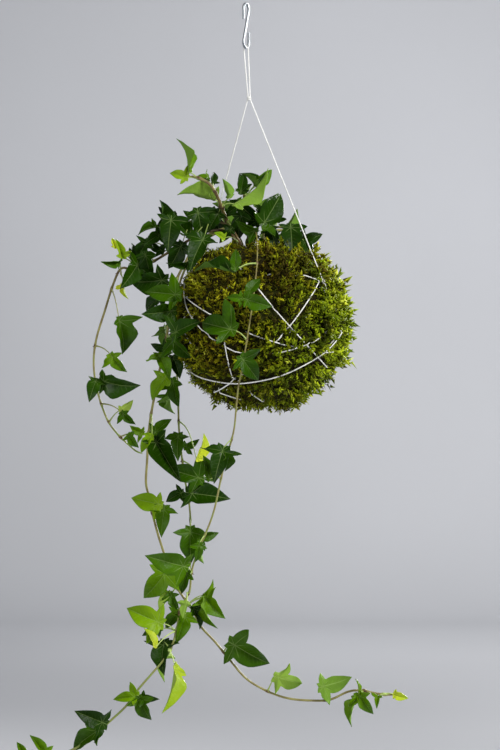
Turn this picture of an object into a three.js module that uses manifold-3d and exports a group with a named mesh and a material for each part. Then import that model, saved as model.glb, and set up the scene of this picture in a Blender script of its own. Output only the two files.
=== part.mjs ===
// A hanging kokedama: ivy rooted in a ball of soil that is wrapped in moss, bound with white cotton
// thread and hung by a cord from a bent-wire S-hook. Millimetres, +Z up, front towards -Y. The origin
// is where the whole thing hangs: the inside of the hook's top bend.

import * as THREE from "three";
import { mergeVertices } from "three/addons/utils/BufferGeometryUtils.js";
import Module from "manifold-3d";

const wasm = await Module();
wasm.setup();

// Driving dimensions.
const BALL_CENTRE = new THREE.Vector3(12, 0, -286);
const THREAD_RADIUS = 77; // how far from the ball's centre the binding thread runs
const MOSS_LOW = 71; // the moss surface between tufts
const MOSS_HIGH = 80; // the tip of the longest tuft
const MOSS_WALL = 7; // the least thickness of the moss layer
const CROWN = 64; // the ball is flattened this far above its centre
const OPENING = { x: 3, y: 0, radius: 20 }; // where the ivy leaves the moss
const THREAD = 1.6; // thread and cord diameter
const GAP = 0.3; // between pieces that touch
const STEM_BASE = 1.7; // stem radius in the soil
const STEM_TIP = 1.1;
const PETIOLE = 0.55;
const PETIOLE_END = 0.36; // it runs out inside the blade
const BLADE = 0.8; // leaf thickness
const HOOK = { wire: 2.2, bend: 4.2, height: 42, leg: 9, turn: THREE.MathUtils.degToRad(63) };

const MOSS_DETAIL = 7;
const SOIL_DETAIL = 2;
const STEM_SIDES = 4;
const PETIOLE_SIDES = 3;
const STEM_STEP = 18;

const COLOURS = {
  steel: new THREE.MeshStandardMaterial({ color: 0x8d9399, roughness: 0.35, metalness: 1 }),
  cotton: new THREE.MeshStandardMaterial({ color: 0xe9e9e6, roughness: 0.9, metalness: 0 }),
  moss: new THREE.MeshStandardMaterial({ color: 0x6f7a1e, roughness: 1, metalness: 0 }),
  soil: new THREE.MeshStandardMaterial({ color: 0x2e2118, roughness: 1, metalness: 0 }),
  ivy: new THREE.MeshStandardMaterial({ color: 0x2f6a1c, roughness: 0.45, metalness: 0 }),
};

// The thread's windings. Each is a circle round the ball through three points on its front, given as they
// look from there: right of the ball's centre and above it.
const WINDINGS = [
  [-61, -44, -16, -54, 73, -9],
  [-2, 29, 26, -4, 57, -37],
  [53, 36, 38, 12, 15, -18],
  [11, 42.5, 37, 41, 58, 33],
  [-64, 21, -10, -10, 67, -26],
  [-66, 19, -29, -23, -3, -33],
  [-39, -62, -24, -53, -13, -45],
].map(([ax, az, bx, bz, cx, cz]) => {
  const front = (x, z) => new THREE.Vector3(x, -Math.sqrt(THREAD_RADIUS ** 2 - x ** 2 - z ** 2), z);
  const plane = new THREE.Plane().setFromCoplanarPoints(front(ax, az), front(bx, bz), front(cx, cz));
  return { normal: plane.normal, offset: -plane.constant };
});

const TIES = [
  [54.5, -41.6, 35],
  [-54.5, 41.6, 35],
].map((from) => new THREE.Vector3(...from).setLength(THREAD_RADIUS + THREAD + GAP + 0.6).add(BALL_CENTRE));
const CORD_KNOT = new THREE.Vector3(2.7, 0, -84);

// The ivy. A route is the line of a stem, from its foot in the soil to its tip. A leaf is the point where
// its blade meets its stalk, the point of its long lobe, how far it is rolled from facing the front, in
// degrees, the slope that its sides are folded up to, where that isn't the usual one, and how long its side
// lobes are, as a share of the usual. Points are given as they look from EYE, from where what is nearer
// looks larger.
const EYE = new THREE.Vector3(3.6, -2600, -333);
const IVY = {
  ivy_trail_left: {
    route: [
      [-8, -4, -240], [-9, -5, -218], [-17, -12, -204], [-38, -22, -205], [-62, -26, -218],
      [-82, -24, -230], [-100, -20, -238], [-112, -17, -237], [-119, -14, -250], [-127, -12, -275],
      [-135, -12, -302], [-137, -12, -325], [-133, -14, -350], [-122, -12, -378], [-102, -4, -399],
      [-93, 0, -404],
    ],
    leaves: [
      [-91, -34, -222, -86, -38, -247, 10],
      [-74, -24, -222, -90, -30, -212, -20],
      [-96, -30, -231, -109.5, -36, -254, -20],
      [-104, -24, -228, -100, -18, -212, 30],
      [-88, -30, -212, -100, -34, -228, 25],
      [-113, -20, -231, -128, -26, -233, -30, 0.8, 0.7],
      [-114, -24, -280, -108, -28, -312, -15],
      [-122, -20, -314, -110, -24, -332, 25],
      [-133, -20, -336, -101, -24, -348, 15],
      [-112, -24, -366, -100, -28, -378, 10],
      [-106, -14, -386, -98, -18, -399, 20],
      [-111, -22, -228, -115, -18, -211, 20, 0.9],
      [-114, -20, -365, -101, -22, -357, 160, 0.8],
    ],
  },
  ivy_trail_long: {
    route: [
      [-7, 5, -240], [-7, 5, -216], [-15, 0, -201], [-40, -6, -211], [-57, -15, -236], [-66, -25, -258],
      [-69, -29, -280], [-72, -28, -303], [-77, -24, -325], [-82, -20, -350], [-86, -16, -372],
      [-88, -13, -390], [-89, -11, -410], [-90, -10, -430], [-87, -9, -443], [-84, -8, -458],
      [-79, -8, -477], [-73, -8, -496], [-67, -8, -516], [-57, -8, -532], [-48, -9, -545],
      [-40, -10, -560], [-28, -11, -573], [-14, -12, -590], [0, -13, -606], [18, -14, -617],
      [38, -15, -624], [60, -15, -626], [76, -16, -625], [92, -16, -618], [104, -17, -617],
      [120, -17, -620], [133, -17, -621],
    ],
    leaves: [
      [-71, -34, -247, -107, -38, -252, -20, 0.5],
      [-59, -48, -261, -92, -52, -257, 5, 0.3],
      [-64, -40, -275, -91, -44, -279, -10, 0.3],
      [-68, -42, -299, -49, -48, -320, 15],
      [-66, -46, -296, -45, -66, -284, -15],
      [-79, -30, -314, -68, -36, -334, -20],
      [-71, -30, -333, -87, -34, -355, 20, 0.3],
      [-84, -26, -387, -68, -28, -371, -15, 0.5],
      [-83, -28, -389, -63, -34, -422, 10, 0.25, 0.7],
      [-84, -38, -386, -96, -42, -403, 20, 0.2, 0.6],
      [-75, -18, -450, -104, -22, -444, 0, 0.15, 0.8],
      [-73, -14, -451, -77, -20, -474, 10, 0.3],
      [-70, -12, -508, -92, -18, -537, -10],
      [-68, -14, -529, -61, -20, -547, 20],
      [-38, -16, -532, -23, -20, -551, 20, 0.4, 0.9],
      [-49, -18, -541, -37, -22, -561, -40, 0.6],
      [-15, -18, -573, 21, -22, -596, 10, 0.3],
      [25, -20, -604, 53, -24, -611, 165],
      [66, -22, -614, 95, -26, -608, 160],
      [101, -24, -619, 114, -28, -640, 10, 0.3],
      [132, -18, -620, 145, -18, -624, 10, 0.3, 0.6],
      [-70, -34, -309, -87, -36, -306, -20],
      [-31, 4, -184, -22, 4, -209, 10, 0.15],
    ],
  },
  ivy_trail_middle: {
    route: [
      [-2, 10, -240], [-3, 12, -216], [-14, 19, -203], [-36, 22, -211], [-54, 30, -236],
      [-63, 36, -265], [-64, 37, -300], [-62, 34, -335], [-61, 30, -360], [-60, 27, -385],
      [-56, 24, -420], [-51, 22, -450], [-50, 20, -470], [-51, 19, -490], [-50, 18, -508],
    ],
    leaves: [
      [-76, 30, -262, -94, 34, -276, 20],
      [-74, 44, -290, -70, 52, -312, 150],
      [-66, 26, -316, -59, 22, -334, -15],
      [-66, 22, -336, -62, 16, -363, 10],
      [-68, 30, -350, -70, 34, -369, 60, 1.2],
      [-61, 14, -386, -62, 10, -408, 10],
      [-43, -34, -412, -35, -36, -386, 10, 0.6, 0.45],
      [-38, 8, -427, -73, 4, -416, 10, 0.35],
      [-53, 12, -439, -19, 8, -442, -10, 0.3],
      [-45, 10, -479, -24, 6, -476, 10],
      [-50, 12, -470, -51, 6, -503, 10, 0.5],
      [-44, 24, -484, -40, 30, -503, 160],
      [-56, 18, -438, -73, 14, -447, 10],
    ],
  },
  ivy_trail_front: {
    route: [
      [4, -11, -240], [5, -12, -216], [8, -24, -204], [10, -48, -212], [10, -70, -230], [8, -84, -252],
      [5, -90, -275], [1, -91, -300], [-3, -88, -325], [-7, -84, -345], [-9, -79, -365],
      [-11, -74, -383], [-16, -68, -402], [-22, -63, -424], [-28, -58, -452], [-34, -54, -470],
      [-43, -50, -491], [-49, -47, -510], [-51, -45, -528], [-59, -43, -543], [-62, -41, -560],
      [-66, -40, -575], [-73, -39, -588], [-84, -38, -601], [-97, -37, -616], [-108, -37, -631],
      [-124, -37, -646], [-142, -37, -662], [-160, -38, -672], [-182, -40, -680], [-202, -42, -684],
    ],
    leaves: [
      [-9, -86, -241, -48, -76, -227, 10, 0.3, 0.6],
      [-1, -96, -263, 13, -94, -244, -10, 0.2, 0.35],
      [-2, -98, -264, 22, -97, -272, 10, 0.3, 0.6],
      [-9, -97, -293, -46, -86, -284, 0, 0.3, 0.85],
      [-4, -97, -316, 12, -98, -338, 0, 0.3],
      [-20, -72, -398, -29, -76, -427, 10],
      [-33, -62, -428, -37, -66, -405, 20],
      [-42, -56, -484, -44, -60, -502, -20],
      [-52, -52, -506, -85, -58, -497, 0, 0.2, 0.8],
      [-52, -50, -509, -59, -54, -531, 10],
      [-60, -50, -546, -74, -54, -561, 20],
      [-54, -48, -547, -61, -54, -572, -10],
      [-75, -48, -557, -109, -54, -544, 0, 0.3],
      [-76, -42, -561, -94, -46, -567, 20],
      [-73, -46, -572, -79, -50, -597, 15, 0.5],
      [-70, -44, -582, -80, -48, -606, 130, 0.6],
      [-81, -56, -578, -90, -58, -561, 30, 0.8, 0.5],
      [-64, -48, -592, -68, -52, -633, -20, 1, 0.5],
      [-96, -46, -622, -88, -50, -647, 20, 0.5],
      [-97, -42, -622, -120, -46, -625, 10],
      [-126, -46, -647, -151, -50, -635, 10, 0.35],
      [-130, -42, -651, -160, -46, -671, 30, 0.4],
      [-180, -46, -676, -193, -50, -657, 20, 0.8],
      [-202, -44, -685, -219, -48, -693, 10],
      [-53, -52, -537, -58, -56, -552, 160],
      [-18, -70, -400, -15, -66, -421, -40, 0.8],
    ],
  },
  ivy_spray_top: {
    route: [
      [-4, -2, -240], [-6, -4, -219], [-13, -8, -205], [-19, -16, -190], [-25, -34, -174],
      [-32, -41, -162], [-42, -38, -156], [-51, -34, -154],
    ],
    leaves: [
      [-52, -35, -151, -54, -33, -119, 10, 1.4, 0.3],
      [-52, -34, -155, -68, -34, -148, 30, 0.1, 0.7],
      [-26, -24, -177, -62, -30, -163, 160, 0.9, 0.5],
      [-14, -34, -174, -18, -32, -157, 150, 0.5, 0.5],
      [-13, -36, -178, 25, -40, -157, 165, 0.7, 0.4],
    ],
  },
  ivy_spray_centre: {
    route: [
      [3, 0, -240], [3, 0, -216], [0, 1, -200], [-3, 2, -186], [-1, 3, -172], [4, 4, -163],
    ],
    leaves: [
      [7, -2, -163, 25, -8, -149, 20, 0.2, 0.35],
      [-5, -10, -171, -1, -12, -150, 10, 0.5, 0.6],
      [0, 10, -166, -6, 16, -152, 0],
      [10, 12, -182, 28, 20, -174, 150],
      [-10, 14, -186, -26, 22, -178, 160],
      [13, -2, -196, -10, 0, -178, -20, 0.2],
      [-4, -6, -186, -8, -8, -212, 10, 0.2, 0.8],
    ],
  },
  ivy_spray_right: {
    route: [
      [12, -3, -240], [13, -3, -217], [17, -4, -206], [27, -6, -200], [39, -8, -202], [50, -10, -207],
    ],
    leaves: [
      [14, -18, -200, 34, -20, -167, 5, 0.1, 0.6],
      [14, -22, -200, 32, -28, -210, -35, 0.5, 0.7],
      [40, -16, -197, 42, -26, -223, -5, 0.1, 0.7],
      [47, -14, -212, 71, -16, -207, 15, 0.1],
      [36, -4, -210, 50, -2, -203, 20],
      [21, -14, -199, 27, -20, -219, 10, 0.2, 0.7],
    ],
  },
  ivy_spray_left: {
    route: [
      [-3, -9, -240], [-5, -11, -217], [-16, -18, -199], [-36, -24, -193], [-56, -27, -198],
      [-76, -28, -204],
    ],
    leaves: [
      [-76, -31, -203, -73, -29, -172, 25, 0.9, 0.4],
      [-79, -27, -200, -98, -31, -203, 50, 1, 0.6],
      [-67, -36, -190, -70, -42, -220, 0, 0.3, 0.8],
      [-47, -34, -212, -67, -38, -188, 15, 0.6, 0.5],
      [-44, -30, -183, -38, -36, -212, -10, 0.15, 0.9],
      [-37, -42, -208, -51, -50, -235, 20],
      [-57, -40, -214, -69, -44, -238, -15, 0.2],
      [-43, -20, -190, -58, -20, -187, -30],
      [-77, -34, -206, -90, -38, -214, 10, 0.3],
      [-62, -24, -190, -84, -28, -208, 10, 0.2],
    ],
  },
  ivy_spray_back: {
    route: [
      [5, 9, -240], [6, 11, -217], [8, 26, -203], [6, 46, -209], [2, 64, -224], [-2, 78, -248],
      [-4, 84, -272],
    ],
    leaves: [
      [14, 32, -196, 32, 40, -186, 160],
      [-4, 40, -200, -22, 50, -190, 165],
      [14, 58, -206, 34, 70, -212, 170],
      [-8, 74, -222, -26, 84, -236, 175],
      [8, 84, -238, 24, 88, -258, 180, 0.75],
      [-12, 90, -262, -26, 94, -282, 170],
      [-2, 90, -278, 4, 94, -300, 180, 0.6],
    ],
  },
  ivy_spray_back_right: {
    route: [
      [11, 6, -240], [13, 8, -217], [26, 18, -203], [44, 32, -208], [58, 44, -226], [68, 52, -248],
    ],
    leaves: [
      [38, 24, -201, 48, 30, -214, 140],
      [38, 40, -202, 46, 54, -188, 160],
      [56, 40, -220, 66, 46, -236, 150],
      [56, 56, -226, 58, 72, -240, 160],
      [70, 60, -256, 74, 66, -278, 160],
    ],
  },
};

// The outline of half a blade, from beside the long lobe's point to the notch: degrees from the midrib, and
// how far from the stalk's end, as a share of the blade's length.
const HALF_OUTLINE = [[19, 0.54], [45, 0.28], [71, 0.6], [118, 0.25]];
const NOTCH = 0.09;
const HEART = 0.13; // the middle of the blade, as a share of its length from the stalk's end
const SIDE_LOBES = THREE.MathUtils.degToRad(60); // the side lobes are more than this from the midrib
const OUTLINE = [
  [0, 1],
  ...HALF_OUTLINE,
  [180, NOTCH],
  ...HALF_OUTLINE.slice().reverse().map(([angle, reach]) => [360 - angle, reach]),
].map(([angle, reach]) => [THREE.MathUtils.degToRad(angle), reach]);

// A closed three.js geometry as a manifold solid, and back.
function solidOf(geometry) {
  const bare = geometry.clone().deleteAttribute("normal").deleteAttribute("uv");
  const merged = mergeVertices(bare, 1e-4);
  return new wasm.Manifold(
    new wasm.Mesh({
      numProp: 3,
      vertProperties: merged.getAttribute("position").array,
      triVerts: new Uint32Array(merged.index.array),
    }),
  );
}

function geometryOf(solid) {
  const mesh = solid.getMesh();
  const geometry = new THREE.BufferGeometry();
  geometry.setAttribute("position", new THREE.BufferAttribute(mesh.vertProperties, 3));
  geometry.setIndex(new THREE.BufferAttribute(mesh.triVerts, 1));
  geometry.computeVertexNormals();
  return geometry;
}

// Moves every vertex of a geometry by a function of its position.
function reshape(geometry, move) {
  const place = geometry.getAttribute("position");
  const point = new THREE.Vector3();
  for (let i = 0; i < place.count; i++) {
    point.fromBufferAttribute(place, i);
    const to = move(point);
    place.setXYZ(i, to.x, to.y, to.z);
  }
  return geometry;
}

// A thin rod bent along a curve, with its radius going from one end's to the other's.
function bentRod(curve, fromRadius, toRadius, sides, steps) {
  const frames = curve.computeFrenetFrames(steps);
  return reshape(new THREE.CylinderGeometry(1, 1, 1, sides, steps), ({ x, y, z }) => {
    const share = 0.5 - y;
    const step = Math.round(share * steps);
    const radius = THREE.MathUtils.lerp(fromRadius, toRadius, share);
    return curve
      .getPointAt(share)
      .addScaledVector(frames.normals[step], x * radius)
      .addScaledVector(frames.binormals[step], z * radius);
  });
}

// A blade of thickness BLADE, folded up along its midrib and drooping towards its point. It is a flat drum
// whose rim is moved out to the leaf's outline, so both faces are split alike.
function blade(stalkEnd, point, { roll, fold, droop, lobed }) {
  const along = point.clone().sub(stalkEnd);
  const length = along.length();
  along.normalize();
  const face = new THREE.Vector3(0, -1, 0).projectOnPlane(along).normalize().applyAxisAngle(along, roll);
  const across = new THREE.Vector3().crossVectors(face, along);
  const drum = new THREE.CylinderGeometry(1, 1, BLADE, OUTLINE.length, 1);
  const narrow = 1 / Math.hypot(1, fold);
  return reshape(drum, ({ x, y, z }) => {
    const rim = Math.round((Math.atan2(x, z) / (2 * Math.PI)) * OUTLINE.length);
    const onRim = OUTLINE[(rim + OUTLINE.length) % OUTLINE.length];
    const [angle, reach] = Math.hypot(x, z) < 0.5 ? [0, HEART] : onRim;
    const inSideLobe = reach > NOTCH && Math.cos(angle) < Math.cos(SIDE_LOBES);
    const out = inSideLobe ? reach * lobed : reach;
    const u = out * Math.cos(angle);
    const v = out * Math.sin(angle);
    const lift = length * (fold * Math.abs(v) - droop * u * Math.abs(u));
    return stalkEnd
      .clone()
      .addScaledVector(along, length * u)
      .addScaledVector(across, length * v * narrow)
      .addScaledVector(face, lift + y);
  });
}

// A leaf stalk: it leaves the stem a little nearer the root than the blade is, half-way along one of the
// stem's straight steps, and runs into the blade's notch.
function stalk(stem, stalkEnd, point) {
  const rings = stem.getSpacedPoints(stemSteps(stem));
  const middles = rings.slice(1).map((ring, i) => ring.clone().lerp(rings[i], 0.5));
  const away = middles.map((middle) => middle.distanceTo(stalkEnd));
  const least = Math.min(...away);
  const foot = middles[Math.max(0, away.indexOf(least) - Math.round(least / 2 / STEM_STEP))];
  return new THREE.LineCurve3(foot, stalkEnd.clone().lerp(point, -0.04));
}

function stemSteps(curve) {
  return Math.round(curve.getLength() / STEM_STEP);
}

// Where something really is that looks from EYE as if it were at x and z, at a depth of y.
function placed(x, y, z) {
  const nearness = (y - EYE.y) / -EYE.y;
  return new THREE.Vector3(EYE.x + (x - EYE.x) * nearness, y, EYE.z + (z - EYE.z) * nearness);
}

function stemCurve(route) {
  return new THREE.CatmullRomCurve3(
    route.map((place) => placed(...place)),
    false,
    "catmullrom",
    0.5,
  );
}

function stemRod(curve, swell = 0) {
  return solidOf(bentRod(curve, STEM_BASE + swell, STEM_TIP + swell, STEM_SIDES, stemSteps(curve)));
}

function leafyStem({ route, leaves }) {
  const curve = stemCurve(route);
  const pieces = [stemRod(curve)];
  leaves.forEach(([x, y, z, tipX, tipY, tipZ, degrees, givenFold, lobed = 1], i) => {
    const stalkEnd = placed(x, y, z);
    const point = placed(tipX, tipY, tipZ);
    point.y += 0.4 * point.distanceTo(stalkEnd) * Math.sin(2.1 * i + 0.6);
    const roll = THREE.MathUtils.degToRad(degrees);
    const fold = givenFold ?? 0.42 + 0.15 * Math.sin(2.4 * i);
    const droop = 0.1 + 0.08 * Math.cos(1.7 * i);
    pieces.push(solidOf(bentRod(stalk(curve, stalkEnd, point), PETIOLE, PETIOLE_END, PETIOLE_SIDES, 1)));
    pieces.push(solidOf(blade(stalkEnd, point, { roll, fold, droop, lobed })));
  });
  return wasm.Manifold.union(pieces);
}

// How far a point of the ball's surface, given as a direction, lies from the nearest winding.
function fromWinding(direction) {
  return Math.min(
    ...WINDINGS.map(({ normal, offset }) => {
      const around = Math.asin(normal.dot(direction)) - Math.asin(offset / THREAD_RADIUS);
      return Math.abs(around) * THREAD_RADIUS;
    }),
  );
}

// Moss stands up in tufts, lies lower under the thread, which ties it down, and is flat round the opening.
function mossCover() {
  const underThread = THREAD_RADIUS - THREAD / 2 - 2 * GAP;
  const facet = 11.5;
  const tufts = new THREE.IcosahedronGeometry(1, MOSS_DETAIL);
  reshape(tufts, (direction) => {
    const { x, y, z } = direction;
    const wave = Math.sin(31 * x + 17 * y) * Math.sin(29 * y - 13 * z) + Math.sin(37 * z + 23 * x);
    const tuft = THREE.MathUtils.clamp(0.5 + 0.35 * wave, 0, 1);
    const free = THREE.MathUtils.lerp(MOSS_LOW, MOSS_HIGH, tuft);
    const radius = fromWinding(direction) < facet ? Math.min(free, underThread) : free;
    const point = direction.clone().multiplyScalar(radius);
    point.z = Math.min(point.z, CROWN + 3 * tuft);
    return point.add(BALL_CENTRE);
  });
  const hollow = flattenedBall(MOSS_LOW - MOSS_WALL, CROWN - MOSS_WALL);
  const opening = new THREE.CylinderGeometry(OPENING.radius, OPENING.radius, 2 * MOSS_WALL + MOSS_HIGH, 20);
  opening.rotateX(Math.PI / 2).translate(OPENING.x, OPENING.y, BALL_CENTRE.z + MOSS_HIGH);
  return solidOf(tufts).subtract(hollow).subtract(solidOf(opening));
}

function flattenedBall(radius, top) {
  const ball = new THREE.IcosahedronGeometry(radius, SOIL_DETAIL).translate(...BALL_CENTRE);
  const above = new THREE.BoxGeometry(2 * radius, 2 * radius, radius);
  above.translate(BALL_CENTRE.x, BALL_CENTRE.y, BALL_CENTRE.z + top + radius / 2);
  return solidOf(ball).subtract(solidOf(above));
}

// The root ball fills the moss, with a plain hole round each stem's foot.
function soilBall() {
  const holes = Object.values(IVY).map(({ route }) => stemRod(stemCurve(route), 1.4 * GAP));
  const soil = flattenedBall(MOSS_LOW - MOSS_WALL - GAP, CROWN - MOSS_WALL - GAP);
  return soil.subtract(wasm.Manifold.union(holes));
}

function bindingThread() {
  const up = new THREE.Vector3(0, 0, 1);
  const rings = WINDINGS.map(({ normal, offset }) => {
    const radius = Math.sqrt(THREAD_RADIUS ** 2 - offset ** 2);
    const ring = new THREE.TorusGeometry(radius, THREAD / 2, 3, 20);
    ring.applyQuaternion(new THREE.Quaternion().setFromUnitVectors(up, normal));
    ring.translate(...normal.clone().multiplyScalar(offset).add(BALL_CENTRE));
    return solidOf(ring);
  });
  return wasm.Manifold.union(rings);
}

function roundRod(points, diameter, steps, sides) {
  const section = new THREE.Shape().absarc(0, 0, diameter / 2, 0, 2 * Math.PI);
  const settings = { extrudePath: points, steps, curveSegments: sides, bevelEnabled: false };
  return solidOf(new THREE.ExtrudeGeometry(section, settings));
}

// The plane of the hook, turned about the vertical: a point by its distance sideways and its height.
function inHook(side, height, off = 0) {
  const cos = Math.cos(HOOK.turn);
  const sin = Math.sin(HOOK.turn);
  return new THREE.Vector3(side * cos - off * sin, side * sin + off * cos, height);
}

// An S of round wire: a short leg, the top bend, the slanting shank, the bottom bend and another short leg.
function sHook() {
  const radius = HOOK.bend + HOOK.wire / 2;
  const top = -HOOK.bend;
  const bottom = HOOK.wire - HOOK.height + radius + HOOK.wire / 2;
  const arc = (centre, from, to) =>
    [0, 0.25, 0.5, 0.75, 1].map((share) => {
      const angle = THREE.MathUtils.degToRad(from + (to - from) * share);
      return inHook(radius * Math.cos(angle), centre + radius * Math.sin(angle));
    });
  const line = [
    inHook(-radius, top - HOOK.leg),
    ...arc(top, 180, 0),
    ...arc(bottom, 180, 360),
    inHook(radius, bottom + HOOK.leg),
  ];
  return roundRod(new THREE.CatmullRomCurve3(line, false, "catmullrom", 0.5), HOOK.wire, 32, 3);
}

// The cord: a bight over the hook's bottom bend, its two strands down to the knot, and a leg from there to
// each tie.
function hangingCord() {
  const wireCentre = 1.5 * HOOK.wire - HOOK.height;
  const round = (HOOK.wire + THREAD) / 2 + GAP;
  const overWire = (degrees) => {
    const angle = THREE.MathUtils.degToRad(degrees);
    return inHook(0, wireCentre + round * Math.sin(angle), -round * Math.cos(angle));
  };
  const bight = new THREE.CatmullRomCurve3([-25, 0, 45, 90, 135, 180, 205].map(overWire));
  const strands = [overWire(0), overWire(180), ...TIES];
  const knots = [CORD_KNOT, ...TIES].map((place) =>
    solidOf(new THREE.IcosahedronGeometry(1.2 * THREAD, 0).translate(...place)),
  );
  const straight = strands.map((end) => roundRod(new THREE.LineCurve3(CORD_KNOT, end), THREAD, 1, 4));
  return wasm.Manifold.union([roundRod(bight, THREAD, 10, 4), ...knots, ...straight]);
}

const root = new THREE.Group();

function addPiece(name, solid, material) {
  const mesh = new THREE.Mesh(geometryOf(solid), material);
  mesh.name = name;
  root.add(mesh);
}

addPiece("s_hook", sHook(), COLOURS.steel);
addPiece("hanging_cord", hangingCord(), COLOURS.cotton);
addPiece("binding_thread", bindingThread(), COLOURS.cotton);
addPiece("moss_cover", mossCover(), COLOURS.moss);
addPiece("soil_ball", soilBall(), COLOURS.soil);
for (const [name, plant] of Object.entries(IVY)) addPiece(name, leafyStem(plant), COLOURS.ivy);

export default root;
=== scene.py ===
"""The looks of a hanging kokedama: ivy rooted in a ball of soil and moss, bound with cotton thread and hung
by a cord from a wire S-hook. Tables and sizes are in millimetres, what Blender holds is in metres."""

import math

import bmesh
import bpy
import numpy as np
from mathutils import Matrix, Vector, kdtree
from mathutils.bvhtree import BVHTree


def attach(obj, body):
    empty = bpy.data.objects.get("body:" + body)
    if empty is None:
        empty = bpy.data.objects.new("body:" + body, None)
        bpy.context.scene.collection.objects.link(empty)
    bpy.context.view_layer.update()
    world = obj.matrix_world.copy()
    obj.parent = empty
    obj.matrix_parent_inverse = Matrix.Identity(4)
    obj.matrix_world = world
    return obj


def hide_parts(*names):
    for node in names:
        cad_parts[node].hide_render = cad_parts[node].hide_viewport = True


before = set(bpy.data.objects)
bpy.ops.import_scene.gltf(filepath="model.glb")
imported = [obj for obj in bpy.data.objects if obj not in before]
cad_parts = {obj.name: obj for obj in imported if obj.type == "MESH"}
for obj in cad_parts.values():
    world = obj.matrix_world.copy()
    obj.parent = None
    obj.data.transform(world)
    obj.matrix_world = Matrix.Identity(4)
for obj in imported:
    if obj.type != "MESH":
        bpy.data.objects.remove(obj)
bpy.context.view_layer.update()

MM = 0.001

# The camera's place and lens, and in metres the paper sweep behind the plant and where the lamps aim.
EYE = (3.6, -2600.0, -333.0)
LENS = 138.67
PLANT_MIDDLE = (0, 0, -0.35)
PAPER_FLOOR = -0.943
PAPER_WALL = 5.6
SWEEP = 1.1
NEUTRAL = (1.0, 0.99, 0.98)

# The hook and the cord. A yarn is its number of sides, its strands, and how many mm they take to turn once.
HOOK = {"wire": 2.2, "bend": 4.2, "height": 42.0, "leg": 9.0, "turn": math.radians(63)}
CORD_RADIUS = 0.62
CORD_YARN = (9, 3, 4.5)
CORD_KNOT = np.array([2.7, 0.0, -84.0])
TIES = np.array([[54.5, -41.6, 35.0], [-54.5, 41.6, 35.0]])  # directions from the ball's centre
CLEARANCE = 0.3

# The ball and its binding thread.
BALL_CENTRE = np.array([12.0, 0.0, -286.0])
CROWN = 64.0  # the ball is flattened this far above its centre
OPENING = np.array([3.0, 0.0, 0.0])
OPENING_RADIUS = 20.0
BALL_RADIUS = 77.0  # from the ball's centre to the middle of a thread that lies on the moss
THREAD = 1.6  # how thick the solids have the thread and the cord
THREAD_RADIUS = 0.68
STRETCH_RADIUS = 0.62
THREAD_YARN = (9, 3, 4.6)
THREAD_STEP = 1.15
# The thread's windings, each by three points on the ball's front: right of its centre and above it. Then
# come the stretches of its front, from left to right, that lie on top of the moss. The rest is sunk in it.
WINDINGS = [
    ([-61, -44, -16, -54, 73, -9], [(-63, 74)]),
    ([-2, 29, 26, -4, 57, -37], [(-5, 12), (13.5, 61)]),
    ([53, 36, 38, 12, 15, -18], [(24, 54), (14, 21)]),
    ([11, 42.5, 37, 41, 58, 33], [(34, 60), (8, 12)]),
    ([-64, 21, -10, -10, 67, -26], [(-66, -42), (-12, 25), (29, 33), (57, 67)]),
    ([-66, 19, -29, -23, -3, -33], [(-68, -48), (-46, -38), (-31, -18)]),
    ([-39, -62, -24, -53, -13, -45], [(-41, -24), (-17, -12)]),
]
# Short stretches that come up out of the moss and go back into it, as their points on the ball's front.
STRETCHES = [
    [9, -28.5, 28, -24.5, 47, -17.5],
    [43, -20, 54, -13, 62, -3],
    [-31, -13, -29, -27, -22, -53],
    [-38, -61, -27, -65, -12, -69],
    [-9, -62, -3, -66, 5, -71],
    [55, 32, 57, 26, 58, 17],
    [-68, 6, -66, -8, -58, -22],
]

# The moss and the soil.
SHOOTS = 9600
SHOOT_LENGTHS = (5.0, 11.0)
SHOOT_TILTS = (24, 84)  # degrees from straight out of the ball
SHOOT_SUNK = 1.2  # how deep a shoot's foot is in the moss
OFF_THREAD = 1.3  # the nearest that a shoot stands to a thread
RIM_SHOOTS = 620
CRUMBS = 190
# A shoot's leaflets, whether they are in two rows, how long they are and how wide.
SHOOT_FORMS = [(6, True, 0.4, 0.12), (6, False, 0.36, 0.12), (5, True, 0.46, 0.14), (6, False, 0.42, 0.11)]
# Where the moss is brighter or duller, and yellower or greener: a direction from the ball's middle, how wide,
# how much.
BRIGHT_PATCHES = [
    ((-0.7, -0.6, 0.35), 0.5, 0.14),
    ((0.05, -0.7, 0.7), 0.45, -0.2),
    ((0.35, -0.85, 0.2), 0.35, -0.14),
    # Painted light: this brighter patch on the right is where the window light falls.
    ((0.8, -0.45, -0.2), 0.6, 0.05),
    ((-0.35, -0.8, -0.5), 0.4, -0.12),
    ((0.5, 0.75, 0.2), 0.5, 0.12),
    ((-0.6, 0.7, -0.2), 0.5, -0.18),
]
GOLD_PATCHES = [
    ((-0.6, -0.7, 0.3), 0.6, 0.4),
    ((0.05, -0.7, 0.7), 0.5, 0.4),
    ((-0.45, -0.8, -0.35), 0.4, 0.35),
    ((0.85, -0.4, -0.3), 0.75, -0.6),
    ((-0.2, 0.9, 0.3), 0.6, 0.3),
]

# A blade, in shares of its length. Its heart is the point that its lobes fan out from. A lobe is its angle
# from the midrib, how long it is and how wide. FAN is the angles where the edge has a point, closer at tips.
HEART = 0.13
LOBES = ((0, 1 - HEART, 0.236), (82, 0.56, 0.126), (140, 0.25, 0.1))
FAN = [
    0, 1.5, 3.5, 6, 9, 13, 18, 24, 31, 38, 45, 52, 60, 67, 73, 78, 80.5, 82, 83.5, 86, 91, 97, 104, 112, 120,
    128, 134, 138, 140, 142, 146, 155, 167, 180,
]
SPOKES = 2 * (len(FAN) - 1)
BLADE_RINGS = (0, 0.3, 0.58, 0.82, 0.95, 1)
BLADE = 0.45  # how thick it is, in mm
STEM_STEP = 18.0  # between the places where a leaf stalk may leave its stem

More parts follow.
